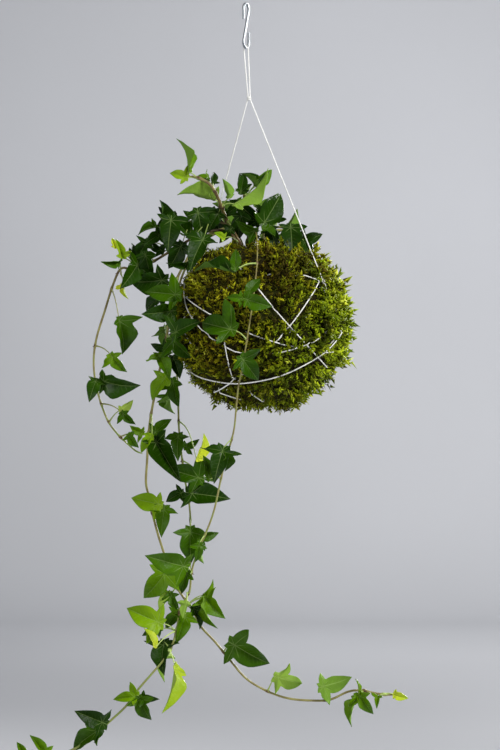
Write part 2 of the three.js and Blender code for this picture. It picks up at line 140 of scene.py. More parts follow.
# The ivy, as it looks from EYE, from where what is nearer looks larger. A stem has how green it is at its
# foot and at its tip, how green its stalks are, its radius at its foot and at its tip, and its route from its
# foot in the soil to its tip. A leaf is the point where its blade meets its stalk, the point of its long
# lobe, its roll from facing the front in degrees, its age, where 0 is old and dark and 1 is young and yellow,
# the slope that its sides are folded up to, where that isn't the usual one, and how long its side lobes are,
# as a share of the usual. The small leaves are the ones that the solids leave out.
IVY = {
    "ivy_trail_left": {
        "green": (0.08, 0.66), "stalks": 0.5, "radius": (1.25, 0.85),
        "route": [
            [-8, -4, -240], [-9, -5, -218], [-17, -12, -204], [-38, -22, -205], [-62, -26, -218],
            [-82, -24, -230], [-100, -20, -238], [-112, -17, -237], [-119, -14, -250], [-127, -12, -275],
            [-135, -12, -302], [-137, -12, -325], [-133, -14, -350], [-122, -12, -378], [-102, -4, -399],
            [-93, 0, -404],
        ],
        "leaves": [
            [-91, -34, -222, -86, -38, -247, 10, 0.15], [-74, -24, -222, -90, -30, -212, -20, 0.15],
            [-96, -30, -231, -109.5, -36, -254, -20, 0.2], [-104, -24, -228, -100, -18, -212, 30, 0.15],
            [-88, -30, -212, -100, -34, -228, 25, 0.15],
            [-113, -20, -231, -128, -26, -233, -30, 0.4, 0.8, 0.7],
            [-115, -24, -280, -107, -28, -314, -40, 0.3, 0.7, 0.7],
            [-122, -20, -314, -110, -24, -332, 25, 0.5],
            [-132, -20, -337, -101, -24, -348, 40, 0.2, 0.3, 0.6],
            [-112, -24, -366, -100, -28, -378, 10, 0.3], [-106, -14, -386, -98, -18, -399, 20, 0.4],
            [-111, -22, -228, -115, -18, -211, 20, 0.75, 0.9],
            [-114, -20, -365, -101, -22, -357, 160, 0.95, 0.8],
        ],
        "small": [
            [-117, -14, -219, -121, -14, -209, 0, 0.95, 0.9],
            [-134, -22, -336, -141, -26, -354, 10, 0.2, 0.2, 0.7],
            [-110, -24, -251, -109, -27, -265, 35, 0.95, 1], [-92, -10, -385, -105, -14, -380, -25, 0.6, 0.5],
        ],
    },
    "ivy_trail_long": {
        "green": (0.46, 0.42), "stalks": 0.75, "radius": (1.2, 1.0),
        "route": [
            [-7, 5, -240], [-7, 5, -216], [-15, 0, -201], [-40, -6, -211], [-57, -15, -236], [-66, -25, -258],
            [-69, -29, -280], [-72, -28, -303], [-77, -24, -325], [-82, -20, -350], [-86, -16, -372],
            [-88, -13, -390], [-89, -11, -410], [-90, -10, -430], [-87, -9, -443], [-84, -8, -458],
            [-79, -8, -477], [-73, -8, -496], [-67, -8, -516], [-57, -8, -532], [-48, -9, -545],
            [-40, -10, -560], [-28, -11, -573], [-14, -12, -590], [0, -13, -606], [18, -14, -617],
            [38, -15, -624], [60, -15, -626], [76, -16, -625], [92, -16, -618], [104, -17, -617],
            [120, -17, -620], [133, -17, -621],
        ],
        "leaves": [
            [-71, -34, -247, -107, -38, -252, -20, 0.15, 0.5], [-59, -48, -261, -92, -52, -257, 5, 0.35, 0.3],
            [-64, -40, -275, -91, -44, -279, -10, 0.22, 0.3], [-68, -42, -299, -49, -48, -320, 15, 0.25],
            [-66, -46, -296, -45, -66, -284, -15, 0.2], [-79, -30, -314, -68, -36, -334, -20, 0.45],
            [-71, -30, -333, -87, -34, -355, 20, 0.6, 0.3], [-84, -26, -387, -68, -28, -371, -15, 0.3, 0.5],
            [-83, -28, -389, -63, -34, -424, 5, 0.14, 0.9, 0.6],
            [-84, -38, -386, -96, -42, -403, 20, 0.65, 0.2, 0.6],
            [-75, -18, -450, -104, -22, -444, 0, 0.65, 0.15, 0.8],
            [-73, -14, -451, -77, -20, -474, 10, 0.4, 0.3], [-70, -12, -508, -92, -18, -537, -10, 0.5],
            [-68, -14, -529, -61, -20, -547, 20, 0.35], [-38, -16, -532, -23, -20, -551, 20, 0.5, 0.4, 0.9],
            [-49, -18, -541, -37, -22, -561, -40, 0.15, 0.6], [-15, -18, -573, 21, -22, -596, 10, 0.3, 0.3],
            [25, -20, -604, 53, -24, -611, 165, 0.6], [66, -22, -614, 95, -26, -608, 160, 0.45],
            [101, -24, -619, 114, -28, -640, 10, 0.45, 0.3],
            [132, -18, -620, 145, -18, -624, 10, 0.9, 0.3, 0.6], [-70, -34, -309, -87, -36, -306, -20, 0.1],
            [-31, 4, -184, -22, 4, -209, 10, 0.08, 0.15],
        ],
        "small": [
            [119, -20, -622, 117, -24, -631, 20, 0.5, 0.8],
            [101, -22, -621, 90, -26, -649, 75, 0.5, 0.35, 0.5],
            [101, -24, -621, 102, -26, -607, 60, 0.6, 0.4, 0.5],
            [-38, -16, -533, -36, -20, -560, 75, 0.5, 0.35, 0.6],
            [-40, -16, -532, -27, -20, -520, 60, 0.55, 0.5, 0.5],
            [-67, -14, -530, -80, -18, -544, 150, 0.8, 0.9],
        ],
    },
    "ivy_trail_middle": {
        "green": (0.44, 0.6), "stalks": 0.7, "radius": (1.15, 0.85),
        "route": [
            [-2, 10, -240], [-3, 12, -216], [-14, 19, -203], [-36, 22, -211], [-54, 30, -236],
            [-63, 36, -265], [-64, 37, -300], [-62, 34, -335], [-61, 30, -360], [-60, 27, -385],
            [-56, 24, -420], [-51, 22, -450], [-50, 20, -470], [-51, 19, -490], [-50, 18, -508],
        ],
        "leaves": [
            [-76, 30, -262, -94, 34, -276, 20, 0.1], [-74, 44, -290, -70, 52, -312, 150, 0.15],
            [-66, 26, -316, -59, 22, -334, -15, 0.15], [-66, 22, -336, -62, 16, -363, 10, 0.3],
            [-68, 30, -350, -70, 34, -369, 60, 0.4, 1.2], [-61, 14, -386, -62, 10, -408, 10, 0.3],
            [-45, -44, -411, -35, -46, -386, 30, 0.95, 0.6, 0.45],
            [-38, 8, -427, -73, 4, -416, 10, 0.25, 0.35], [-53, 12, -439, -19, 8, -442, -10, 0.15, 0.3],
            [-45, 10, -479, -24, 6, -476, 10, 0.35], [-50, 12, -470, -51, 6, -503, 10, 0.3, 0.5],
            [-44, 24, -484, -40, 30, -503, 160, 0.35], [-56, 18, -438, -73, 14, -447, 10, 0.15],
        ],
        "small": [
            [-56, 16, -398, -42, 10, -392, 20, 0.35],
        ],
    },
    "ivy_trail_front": {
        "green": (0.38, 0.66), "stalks": 0.85, "radius": (0.55, 1.1),
        "route": [
            [4, -11, -240], [5, -12, -216], [8, -24, -204], [10, -48, -212], [10, -70, -230], [8, -84, -252],
            [5, -90, -275], [1, -91, -300], [-3, -88, -325], [-7, -84, -345], [-9, -79, -365],
            [-11, -74, -383], [-16, -68, -402], [-22, -63, -424], [-28, -58, -452], [-34, -54, -470],
            [-43, -50, -491], [-49, -47, -510], [-51, -45, -528], [-59, -43, -543], [-62, -41, -560],
            [-66, -40, -575], [-73, -39, -588], [-84, -38, -601], [-97, -37, -616], [-108, -37, -631],
            [-124, -37, -646], [-142, -37, -662], [-160, -38, -672], [-182, -40, -680], [-202, -42, -684],
        ],
        "leaves": [
            [-9, -86, -241, -48, -76, -227, 45, 0.15, 0.3, 0.6],
            [-1, -96, -263, 13, -94, -244, -10, 0.3, 0.2, 0.35],
            [-2, -98, -264, 22, -97, -272, 10, 0.35, 0.3, 0.6],
            [-9, -97, -293, -46, -86, -284, 0, 0.28, 0.4, 0.95],
            [-5, -97, -316, 12, -98, -339, 0, 0.25, 0.35, 1.05], [-20, -72, -398, -29, -76, -427, 10, 0.15],
            [-33, -62, -428, -37, -66, -405, 20, 0.35], [-42, -56, -484, -44, -60, -502, -20, 0.35],
            [-52, -52, -506, -85, -58, -497, 0, 0.4, 0.2, 0.8], [-52, -50, -509, -59, -54, -531, 10, 0.3],
            [-60, -36, -546, -74, -38, -561, 20, 0.4], [-54, -34, -547, -61, -36, -572, -10, 0.45],
            [-75, -48, -557, -109, -54, -544, 0, 0.65, 0.3], [-76, -42, -561, -94, -46, -567, 20, 0.25],
            [-73, -30, -572, -79, -32, -599, 45, 0.15, 0.3], [-70, -32, -582, -80, -34, -606, 125, 0.6, 0.5],
            [-81, -60, -579, -89, -62, -560, 45, 0.92, 0.3, 0.5],
            [-64, -48, -592, -68, -52, -634, -45, 0.84, 0.6, 0.6],
            [-96, -46, -622, -88, -50, -647, 20, 0.3, 0.5], [-97, -42, -622, -120, -46, -625, 10, 0.6],
            [-126, -46, -647, -151, -50, -635, 10, 0.12, 0.35],
            [-130, -42, -651, -160, -46, -671, 30, 0.3, 0.4],
            [-180, -46, -676, -193, -50, -657, 20, 0.5, 0.8], [-202, -44, -685, -219, -48, -693, 10, 0.4],
            [-53, -52, -537, -58, -56, -552, 160, 0.6], [-18, -70, -400, -15, -66, -421, -40, 0.3, 0.8],
        ],
        "small": [
            [-3, -95, -264, -17, -93, -263, 0, 0.4, 0.3], [-198, -46, -679, -206, -48, -663, 20, 0.5, 0.8],
            [-10, -88, -240, -9, -90, -219, 0, 0.32, 0.3, 0.4], [-94, -46, -622, -80, -48, -625, 10, 0.25],
        ],
    },
    "ivy_spray_top": {
        "green": (0.3, 0.36), "stalks": 0.8, "radius": (2.1, 1.2),
        "route": [
            [-4, -2, -240], [-6, -4, -219], [-13, -8, -205], [-19, -16, -190], [-25, -34, -174],
            [-32, -41, -162], [-42, -38, -156], [-51, -34, -154],
        ],
        "leaves": [
            [-52, -35, -152, -52, -36, -118, 62, 0.5, 0.5, 0.25],
            [-52, -34, -156, -69, -34, -149, 20, 0.72, 0.1, 0.9],
            [-26, -24, -176, -62, -30, -165, 128, 0.6, 0.4, 0.5],
            [-14, -34, -174, -18, -32, -157, 150, 0.45, 0.5, 0.5],
            [-13, -36, -180, 26, -40, -159, 118, 0.6, 0.4, 0.4],
        ],
        "small": [
            [-34, -21, -158, -45, -24, -154, 60, 0.5, 0.8], [-30, -22, -161, -28, -20, -149, 20, 0.15, 0.6],
            [-33, -18, -168, -42, -14, -159, 20, 0.35], [-24, -20, -186, -34, -22, -202, 10, 0.12, 0.3, 0.7],
            [-12, -20, -200, -24, -26, -214, 0, 0.1, 0.3, 0.8],
        ],
    },
    "ivy_spray_centre": {
        "green": (0.4, 0.75), "stalks": 0.85, "radius": (1.3, 0.9),
        "route": [
            [3, 0, -240], [3, 0, -216], [0, 1, -200], [-3, 2, -186], [-1, 3, -172], [4, 4, -163],
        ],
        "leaves": [
            [7, -2, -163, 25, -8, -149, 20, 0.5, 0.2, 0.35],
            [-5, -10, -171, -1, -12, -150, 10, 0.2, 0.5, 0.6], [0, 10, -166, -6, 16, -152, 0, 0.2],
            [10, 12, -182, 28, 20, -174, 150, 0.3], [-10, 14, -186, -26, 22, -178, 160, 0.25],
            [13, -2, -196, -10, 0, -178, -20, 0.08, 0.2], [-4, -6, -186, -8, -8, -212, 10, 0.12, 0.2, 0.8],
        ],
        "small": [
            [9, -6, -164, -1, -10, -148, 70, 0.2, 1.3], [10, -31, -204, -9, -28, -197, -20, 0.3, 0.6],
            [13, -4, -190, 7, -2, -175, 40, 0.15], [6, -14, -206, 2, -20, -222, 10, 0.1, 0.3, 0.8],
            [-6, 10, -180, -20, 12, -190, 10, 0.1, 0.3],
        ],
    },
    "ivy_spray_right": {
        "green": (0.25, 0.6), "stalks": 0.7, "radius": (1.3, 0.9),
        "route": [
            [12, -3, -240], [13, -3, -217], [17, -4, -206], [27, -6, -200], [39, -8, -202], [50, -10, -207],
        ],
        "leaves": [
            [14, -18, -200, 34, -20, -167, 5, 0.18, 0.1, 0.6],
            [14, -22, -200, 32, -28, -210, -35, 0.3, 0.5, 0.7],
            [40, -16, -197, 42, -26, -223, -5, 0.1, 0.1, 0.7], [47, -14, -212, 71, -16, -207, 15, 0.15, 0.1],
            [36, -4, -210, 50, -2, -203, 20, 0.2], [21, -14, -199, 27, -20, -219, 10, 0.1, 0.2, 0.7],
        ],
        "small": [
            [15, -14, -211, 9, -18, -219, 10, 0.4], [28, -2, -196, 30, 0, -180, 10, 0.1, 0.3, 0.8],
            [52, -14, -212, 58, -20, -226, 10, 0.15, 0.3],
        ],
    },
    "ivy_spray_left": {
        "green": (0.15, 0.5), "stalks": 0.65, "radius": (1.4, 0.9),
        "route": [
            [-3, -9, -240], [-5, -11, -217], [-16, -18, -199], [-36, -24, -193], [-56, -27, -198],
            [-76, -28, -204],
        ],
        "leaves": [
            [-76, -31, -203, -73, -29, -172, 25, 0.2, 0.9, 0.4],
            [-79, -27, -200, -98, -31, -203, 50, 0.35, 1, 0.6],
            [-67, -36, -190, -70, -42, -220, 0, 0.1, 0.3, 0.8],
            [-47, -34, -212, -67, -38, -188, 15, 0.2, 0.6, 0.5],
            [-44, -30, -183, -38, -36, -212, -10, 0.1, 0.15, 0.9], [-37, -42, -208, -51, -50, -235, 20, 0.15],
            [-57, -40, -214, -69, -44, -238, -15, 0.1, 0.2], [-43, -20, -190, -58, -20, -187, -30, 0.4],
            [-77, -34, -206, -90, -38, -214, 10, 0.2, 0.3], [-62, -24, -190, -84, -28, -208, 10, 0.12, 0.2],
        ],
        "small": [
            [-19, -38, -210, -28, -42, -204, 20, 0.7], [-51, -46, -231, -68, -50, -235, -30, 0.2, 0.9],
        ],
    },
    "ivy_spray_back": {
        "green": (0.3, 0.7), "stalks": 0.75, "radius": (1.3, 0.9),
        "route": [
            [5, 9, -240], [6, 11, -217], [8, 26, -203], [6, 46, -209], [2, 64, -224], [-2, 78, -248],
            [-4, 84, -272],
        ],
        "leaves": [
            [14, 32, -196, 32, 40, -186, 160, 0.25], [-4, 40, -200, -22, 50, -190, 165, 0.35],
            [14, 58, -206, 34, 70, -212, 170, 0.2], [-8, 74, -222, -26, 84, -236, 175, 0.4],
            [8, 84, -238, 24, 88, -258, 180, 0.3], [-12, 90, -262, -26, 94, -282, 170, 0.5],
            [-2, 90, -278, 4, 94, -300, 180, 0.6],
        ],
    },
    "ivy_spray_back_right": {
        "green": (0.3, 0.7), "stalks": 0.75, "radius": (1.3, 0.9),
        "route": [
            [11, 6, -240], [13, 8, -217], [26, 18, -203], [44, 32, -208], [58, 44, -226], [68, 52, -248],
        ],
        "leaves": [
            [38, 24, -201, 48, 30, -214, 140, 0.2], [38, 40, -202, 46, 54, -188, 160, 0.35],
            [56, 40, -220, 66, 46, -236, 150, 0.15], [56, 56, -226, 58, 72, -240, 160, 0.3],
            [70, 60, -256, 74, 66, -278, 160, 0.65],
        ],
    },
}


# ---- finishes ----

def tone(red, green, blue):
    """A colour given from 0 to 255, as the linear colour that a shader takes."""
    shares = [value / 255 for value in (red, green, blue)]
    linear = [share / 12.92 if share < 0.04 else ((share + 0.055) / 1.055) ** 2.4 for share in shares]
    return (*linear, 1.0)


def operator(operation, swapped=False):
    """An arithmetic operator of a Wire, which adds a Math node, or its reflected form."""

    def act(wire, other):
        values = (other, wire) if swapped else (wire, other)
        return wire.math(operation, *values)

    return act


class Wire:
    """One output of a shader node."""

    def __init__(self, finish, socket):
        self.finish = finish
        self.socket = socket

    def math(self, operation, *values):
        return self.finish.node("ShaderNodeMath", {"operation": operation}, values)

    __add__ = operator("ADD")
    __radd__ = operator("ADD", swapped=True)
    __sub__ = operator("SUBTRACT")
    __rsub__ = operator("SUBTRACT", swapped=True)
    __mul__ = operator("MULTIPLY")
    __rmul__ = operator("MULTIPLY", swapped=True)
    __truediv__ = operator("DIVIDE")
    __rtruediv__ = operator("DIVIDE", swapped=True)
    larger = operator("MAXIMUM")

    def __abs__(self):
        return self.math("ABSOLUTE", self)

    def cycle(self, length):
        """How far through its cycle a value is, from 0 to 1."""
        return self.math("FRACT", self / length)

    def fade(self, full, none):
        """1 at full, 0 at none, smooth in between."""
        settings = {"interpolation_type": "SMOOTHSTEP"}
        return self.finish.node("ShaderNodeMapRange", settings, [self, none, full, 0.0, 1.0])


class Finish:
    """A procedural material."""

    def __init__(self, name, **sockets):
        self.material = bpy.data.materials.new(name)
        self.material.use_nodes = True
        self.tree = self.material.node_tree
        self.shader = self.tree.nodes["Principled BSDF"]
        self.set(**sockets)

    def set(self, **sockets):
        for name, value in sockets.items():
            self.plug(value, self.shader.inputs[name.replace("_", " ").title().replace("Ior", "IOR")])

    def plug(self, value, socket):
        if isinstance(value, Wire):
            self.tree.links.new(value.socket, socket)
        else:
            socket.default_value = value

    def node(self, kind, settings=(), values=(), output=0):
        """Any node: its type, its settings, then the values or links of its sockets, by number or by name."""
        made = self.tree.nodes.new(kind)
        for name, value in dict(settings).items():
            if name == "stops":
                self.colour_stops(made.color_ramp, value)
            else:
                setattr(made, name, value)
        for key, value in values.items() if isinstance(values, dict) else enumerate(values):
            self.plug(value, made.inputs[key])
        return Wire(self, made.outputs[output])

    def colour_stops(self, ramp, stops):
        for stop in stops[2:]:
            ramp.elements.new(stop[0])
        for element, (place, *colour) in zip(ramp.elements, stops):
            element.position = place
            element.color = tone(*colour)

    def place(self):
        return self.node("ShaderNodeTexCoord", output="Object")

    def trait(self, name):
        return self.node("ShaderNodeAttribute", {"attribute_name": name}, output="Fac")

    def noise(self, scale, detail=3.0, roughness=0.55):
        values = {"Vector": self.place(), "Scale": scale, "Detail": detail, "Roughness": roughness}
        return self.node("ShaderNodeTexNoise", values=values)

    def ramp(self, value, *stops):
        """A colour for each value, from stops: a place and a tone."""
        return self.node("ShaderNodeValToRGB", {"stops": stops}, [value])

    def mix(self, share, first, second):
        return self.node("ShaderNodeMix", {"data_type": "RGBA"}, {0: share, 6: first, 7: second}, 2)

    def shade(self, colour, light):
        """A colour made darker where light is low."""
        return self.mix(light, tone(0, 0, 0), colour)

    def bump(self, height, distance):
        return self.node("ShaderNodeBump", values={"Height": height, "Distance": distance, "Strength": 1.0})


def steel_finish():
    """Dull zinc-plated wire, lighter and darker in patches."""
    steel = Finish("zinc_plated_wire", metallic=1.0)
    patches = steel.noise(700.0)
    fine = steel.noise(4000.0)
    steel.set(
        base_color=steel.ramp(patches, (0.3, 120, 126, 132), (0.7, 176, 182, 187)),
        roughness=0.26 + 0.22 * patches,
        normal=steel.bump(fine, 0.00006),
    )
    return steel.material


def cotton_finish():
    """White twisted cotton, a little dusty in patches, with painted shade in its fine grooves."""
    cotton = Finish("white_cotton", roughness=0.85, sheen_weight=0.25)
    dusty = cotton.ramp(cotton.noise(60.0), (0.35, 240, 240, 235), (0.6, 253, 253, 251))
    fibre_and_groove_shade = cotton.noise(2600.0, 4.0)
    # Painted shade: the colour is darker where the fine bump is low, in its grooves.
    cotton.set(
        base_color=cotton.mix(fibre_and_groove_shade.fade(0.65, 0.35), cotton.shade(dusty, 0.82), dusty),
        normal=cotton.bump(fibre_and_groove_shade, 0.00025),
    )
    return cotton.material


def moss_mat_finish():
    """What shows between the shoots: a dark mat of old moss, with painted shade in its hollows."""
    mat = Finish("moss_mat", roughness=0.95, specular_ior_level=0.1)
    olive = mat.ramp(mat.noise(60.0), (0.35, 40, 32, 12), (0.6, 48, 52, 12))
    tangle_and_hollow_shade = mat.noise(1100.0, 5.0, 0.7)
    # Painted shade: the colour is darker where the bump is low, in the hollows of the mat.
    mat.set(
        base_color=mat.mix(tangle_and_hollow_shade.fade(0.7, 0.4), mat.shade(olive, 0.5), olive),
        normal=mat.bump(tangle_and_hollow_shade, 0.0012),
    )
    return mat.material


def moss_finish():
    """Living moss: dark and brown at the foot of a shoot, green to yellow at its tip."""
    moss = Finish("moss_shoots", roughness=0.72, specular_ior_level=0.1)
    patch = moss.noise(38.0, 2.0)
    fleck = moss.noise(900.0, 2.0)
    tint = moss.trait("tint") + 0.5 * (patch - 0.5) + 0.12 * (fleck - 0.5)
    shaded = (0.0, 46, 50, 3), (0.3, 82, 100, 5), (0.6, 126, 148, 10)
    green = moss.ramp(tint, *shaded, (0.85, 174, 190, 30), (1.0, 214, 224, 84))
    rusty = (0.0, 56, 40, 6), (0.3, 100, 84, 8), (0.6, 146, 138, 14)
    gold = moss.ramp(tint, *rusty, (0.85, 190, 184, 34), (1.0, 220, 216, 88))
    tip = moss.mix(moss.trait("gold") + 0.5 * (fleck - 0.5), green, gold)
    foot = moss.mix(0.7, tip, tone(30, 26, 8))
    moss.set(base_color=moss.mix(moss.trait("reach").fade(0.8, 0.1), foot, tip))
    return moss.material


def soil_finish():
    """Damp soil: brown lumps, with painted shade between its crumbs."""
    soil = Finish("damp_soil", roughness=0.9, specular_ior_level=0.2)
    crumb_and_gap_shade = soil.node("ShaderNodeTexVoronoi", values={"Vector": soil.place(), "Scale": 700.0})
    lump = soil.noise(220.0, 5.0)
    dark = soil.ramp(lump, (0.35, 30, 21, 14), (0.62, 74, 55, 38))
    soil.set(
        # Painted shade: the colour is darker at the edges of the crumbs, where the bump sinks between them.
        base_color=soil.mix(crumb_and_gap_shade.fade(0.5, 0.1), dark, soil.shade(dark, 0.6)),
        normal=soil.bump(lump - 0.5 * crumb_and_gap_shade, 0.0012),
    )
    return soil.material


def bark_finish():
    """Stems and stalks, from dark wood through brown and olive to pale green as their green goes up to 1."""
    bark = Finish("ivy_bark", roughness=0.55, specular_ior_level=0.4)
    fleck = bark.noise(900.0, 4.0)
    streak = bark.noise(160.0, 3.0)
    age = bark.trait("green") + 0.2 * (streak - 0.5) + 0.1 * (fleck - 0.5)
    woods = (0.0, 40, 27, 18), (0.25, 88, 68, 40)
    greens = (0.48, 134, 128, 72), (0.7, 124, 144, 66), (1.0, 182, 204, 116)
    bark.set(base_color=bark.ramp(age, *woods, *greens), normal=bark.bump(fleck, 0.0002))
    return bark.material


def veins(along, side):
    """How much vein there is at a point of a blade: the midrib and a rib in each lobe, and fine branches."""
    ahead = along - HEART
    away = abs(side)
    ribs = away.fade(0.003, 0.019) * along.fade(0.6, 1.15)
    for degrees, reach in ((82, 0.56), (140, 0.24), (38, 0.3)):
        cos = math.cos(math.radians(degrees))
        sin = math.sin(math.radians(degrees))
        off = abs(ahead * sin - away * cos)
        out = ahead * cos + away * sin
        ribs = ribs.larger(off.fade(0.0, 0.013) * out.fade(0.4 * reach, 1.1 * reach) * out.fade(0.03, 0.0))
    branch = abs((along - 0.8 * away).cycle(0.105) - 0.5)
    return ribs, branch.fade(0.02, 0.1) * away.fade(0.03, 0.2) * 0.5


def leaf_finish(under=False):
    """An ivy blade. Its upper side is glossy with pale veins, its under side is pale and matt."""
    leaf = Finish("ivy_leaf_under" if under else "ivy_leaf_upper")
    along = leaf.trait("along")
    ribs, branches = veins(along, leaf.trait("side"))
    cloud = leaf.noise(90.0, 3.0)
    cells = leaf.noise(1500.0, 2.0)
    blister = leaf.noise(330.0, 2.0)
    age = leaf.trait("age") + 0.14 * (cloud - 0.5) - 0.1 * (along - 0.4)
    if under:
        blade = leaf.ramp(age, (0.0, 66, 94, 34), (0.5, 104, 140, 46), (1.0, 160, 184, 76))
        leaf.set(roughness=0.6 + 0.2 * cells, specular_ior_level=0.08)
    else:
        old = (0.0, 11, 32, 0), (0.2, 30, 60, 0), (0.42, 64, 102, 0)
        young = (0.65, 108, 144, 8), (0.85, 148, 174, 34), (1.0, 200, 208, 52)
        blade = leaf.ramp(age, *old, *young)
        leaf.set(roughness=0.24 + 0.2 * cells, specular_ior_level=0.09, coat_roughness=0.3)
        leaf.set(coat_weight=leaf.noise(55.0).fade(0.68, 0.52) * 0.14)
    vein = leaf.mix(0.3, blade, tone(176, 204, 120))
    leaf.set(
        base_color=leaf.mix((ribs * 0.85).larger(branches * (0.6 if under else 0.32)), blade, vein),
        normal=leaf.bump(0.35 * cells + 1.6 * blister - ribs - 0.7 * branches, 0.00034),
    )
    return leaf.material


# ---- shapes ----

def add_object(name, data):
    made = bpy.data.objects.new(name, data)
    bpy.context.scene.collection.objects.link(made)
    return made


def piece(name, mesh, materials, slot, *nodes):
    """Puts a finished mesh in the scene, riding on the plant, in place of its CAD nodes."""
    made = add_object(name, mesh)
    for material in materials:
        mesh.materials.append(material)
    mesh.shade_smooth()
    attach(made, "root")
    if nodes:
        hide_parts(*nodes)
    return made


def mesh_from(build, mesh=None):
    """The mesh of whatever build makes in a bmesh, which is empty or starts as a mesh."""
    work = bmesh.new()
    if mesh:
        work.from_mesh(mesh)
    build(work)
    made = mesh or bpy.data.meshes.new("shape")
    work.to_mesh(made)
    work.free()
    return made


def close_up(work, within=1e-6):
    """Merges doubles and turns every face outwards."""
    bmesh.ops.remove_doubles(work, verts=work.verts, dist=within)
    bmesh.ops.recalc_face_normals(work, faces=work.faces)


def corners(mesh):
    """The points of a mesh, and its faces as lists of point numbers."""
    points = np.zeros(3 * len(mesh.vertices))
    mesh.vertices.foreach_get("co", points)
    return points.reshape(-1, 3), [tuple(face.vertices) for face in mesh.polygons]


def set_trait(mesh, name, values):
    layer = mesh.attributes.new(name, "FLOAT", "POINT")
    layer.data.foreach_set("value", np.asarray(values, np.float32))


def mesh_of_copies(batches):
    """One mesh from batches of copies of shapes. A batch is its shape's faces, its copies' points in mm, and
    its traits, each with a value for every copy, for every point of the shape, or for both."""
    every_point = []
    every_face = []
    every_trait = {name: [] for name in batches[0][2]}
    start = 0
    for faces, copies, traits in batches:
        every_point.extend((copies.reshape(-1, 3) * MM).tolist())
        for copy in copies:
            every_face.extend([tuple(start + corner for corner in face) for face in faces])
            start += len(copy)
        for name, values in traits.items():
            every_trait[name].extend(np.broadcast_to(values, copies.shape[:2]).ravel())
    mesh = bpy.data.meshes.new("copies")
    mesh.from_pydata(every_point, [], every_face)
    for name, values in every_trait.items():
        set_trait(mesh, name, values)
    return mesh


def section(sides, strands):
    """The cross-section that a rod is drawn with: round, or with a bulge for each strand of a yarn."""
    curve = bpy.data.curves.new("section", "CURVE")
    spline = curve.splines.new("POLY")
    spline.points.add(sides - 1)
    for i, point in enumerate(spline.points):
        angle = 2 * math.pi * i / sides
        reach = 1 - 0.12 * (1 - math.cos(strands * angle)) if strands else 1
        point.co = (reach * math.cos(angle), reach * math.sin(angle), 0, 1)
    spline.use_cyclic_u = True
    return add_object("section", curve)


def rods(lines, sides, strands=0, twist=0.0):
    """A mesh of rods along lines in mm. A line is its points, its radius at each, whether it closes on itself
    and how green it is at each point."""
    shape = section(sides, strands)
    curve = bpy.data.curves.new("rods", "CURVE")
    curve.dimensions = "3D"
    curve.bevel_mode = "OBJECT"
    curve.bevel_object = shape
    curve.use_fill_caps = True
    samples = kdtree.KDTree(sum(len(line["points"]) for line in lines))
    greens = []
    for line in lines:
        points = np.asarray(line["points"], float) * MM
        closed = line.get("closed", False)
        spline = curve.splines.new("POLY")
        spline.points.add(len(points) - 1)
        spline.points.foreach_set("co", np.c_[points, np.ones(len(points))].ravel())
        spline.points.foreach_set("radius", np.broadcast_to(line["radius"], len(points)) * MM)
        spline.points.foreach_set("tilt", turns_along(points, twist, closed))
        spline.use_cyclic_u = closed
        for point, green in zip(points, np.broadcast_to(line.get("green", 0.5), len(points))):
            samples.insert(point, len(greens))
            greens.append(green)
    samples.balance()
    holder = add_object("rods", curve)
    drawn = holder.evaluated_get(bpy.context.evaluated_depsgraph_get())
    mesh = mesh_from(close_up, bpy.data.meshes.new_from_object(drawn))
    bpy.data.objects.remove(holder)
    bpy.data.objects.remove(shape)
    set_trait(mesh, "green", [greens[samples.find(vertex.co)[1]] for vertex in mesh.vertices])
    return mesh


def turns_along(points, twist, closed):
    """How far a yarn has turned at each point: once every twist mm, and a whole number of times in a ring."""
    if not twist:
        return np.zeros(len(points))
    along = lengths_along([*points, points[0]])
    turn = along[-1] / round(along[-1] / (twist * MM)) if closed else twist * MM
    return along[:-1] / turn * 2 * math.pi


def lengths_along(points):
    """How far along a line each of its points is."""
    return np.concatenate([[0.0], np.cumsum(np.linalg.norm(np.diff(points, axis=0), axis=1))])


def evenly(points, step):
    """A line's points again, spaced evenly about a step apart."""
    points = np.asarray(points, float)
    along = lengths_along(points)
    places = np.linspace(0, along[-1], max(2, round(along[-1] / step) + 1))
    return np.stack([np.interp(places, along, points[:, axis]) for axis in range(3)], axis=1)


def smooth_line(route):
    """A smooth line through the points of a route."""
    route = np.asarray(route, float)
    parts = 12
    whole = np.vstack([2 * route[0] - route[1], route, 2 * route[-1] - route[-2]])
    line = []
    for a, b, c, d in zip(whole, whole[1:], whole[2:], whole[3:]):
        for share in np.arange(parts) / parts:
            cubic = 2 * b + (c - a) * share
            cubic = cubic + (2 * a - 5 * b + 4 * c - d) * share**2 + (3 * b - a - 3 * c + d) * share**3
            line.append(0.5 * cubic)
    return np.array([*line, route[-1]])


def unit(vectors):
    return vectors / np.linalg.norm(vectors, axis=-1, keepdims=True)


# ---- the camera, the floor and the light ----

def camera():
    data = bpy.data.cameras.new("camera")
    data.lens = LENS
    data.clip_end = 60.0
    made = add_object("camera", data)
    made.location = Vector(EYE) * MM
    made.rotation_euler = (math.radians(90), 0.0, 0.0)
    bpy.context.scene.camera = made


def paper_finish():
    """Pale paper, a little greyer in wide clouds."""
    paper = Finish("paper", roughness=0.9, specular_ior_level=0.2)
    cloud = paper.noise(0.6, 2.0)
    pale = tone(206, 208, 213)
    paper.set(base_color=paper.mix(cloud.fade(0.7, 0.3), paper.shade(pale, 0.94), pale))
    return paper.material


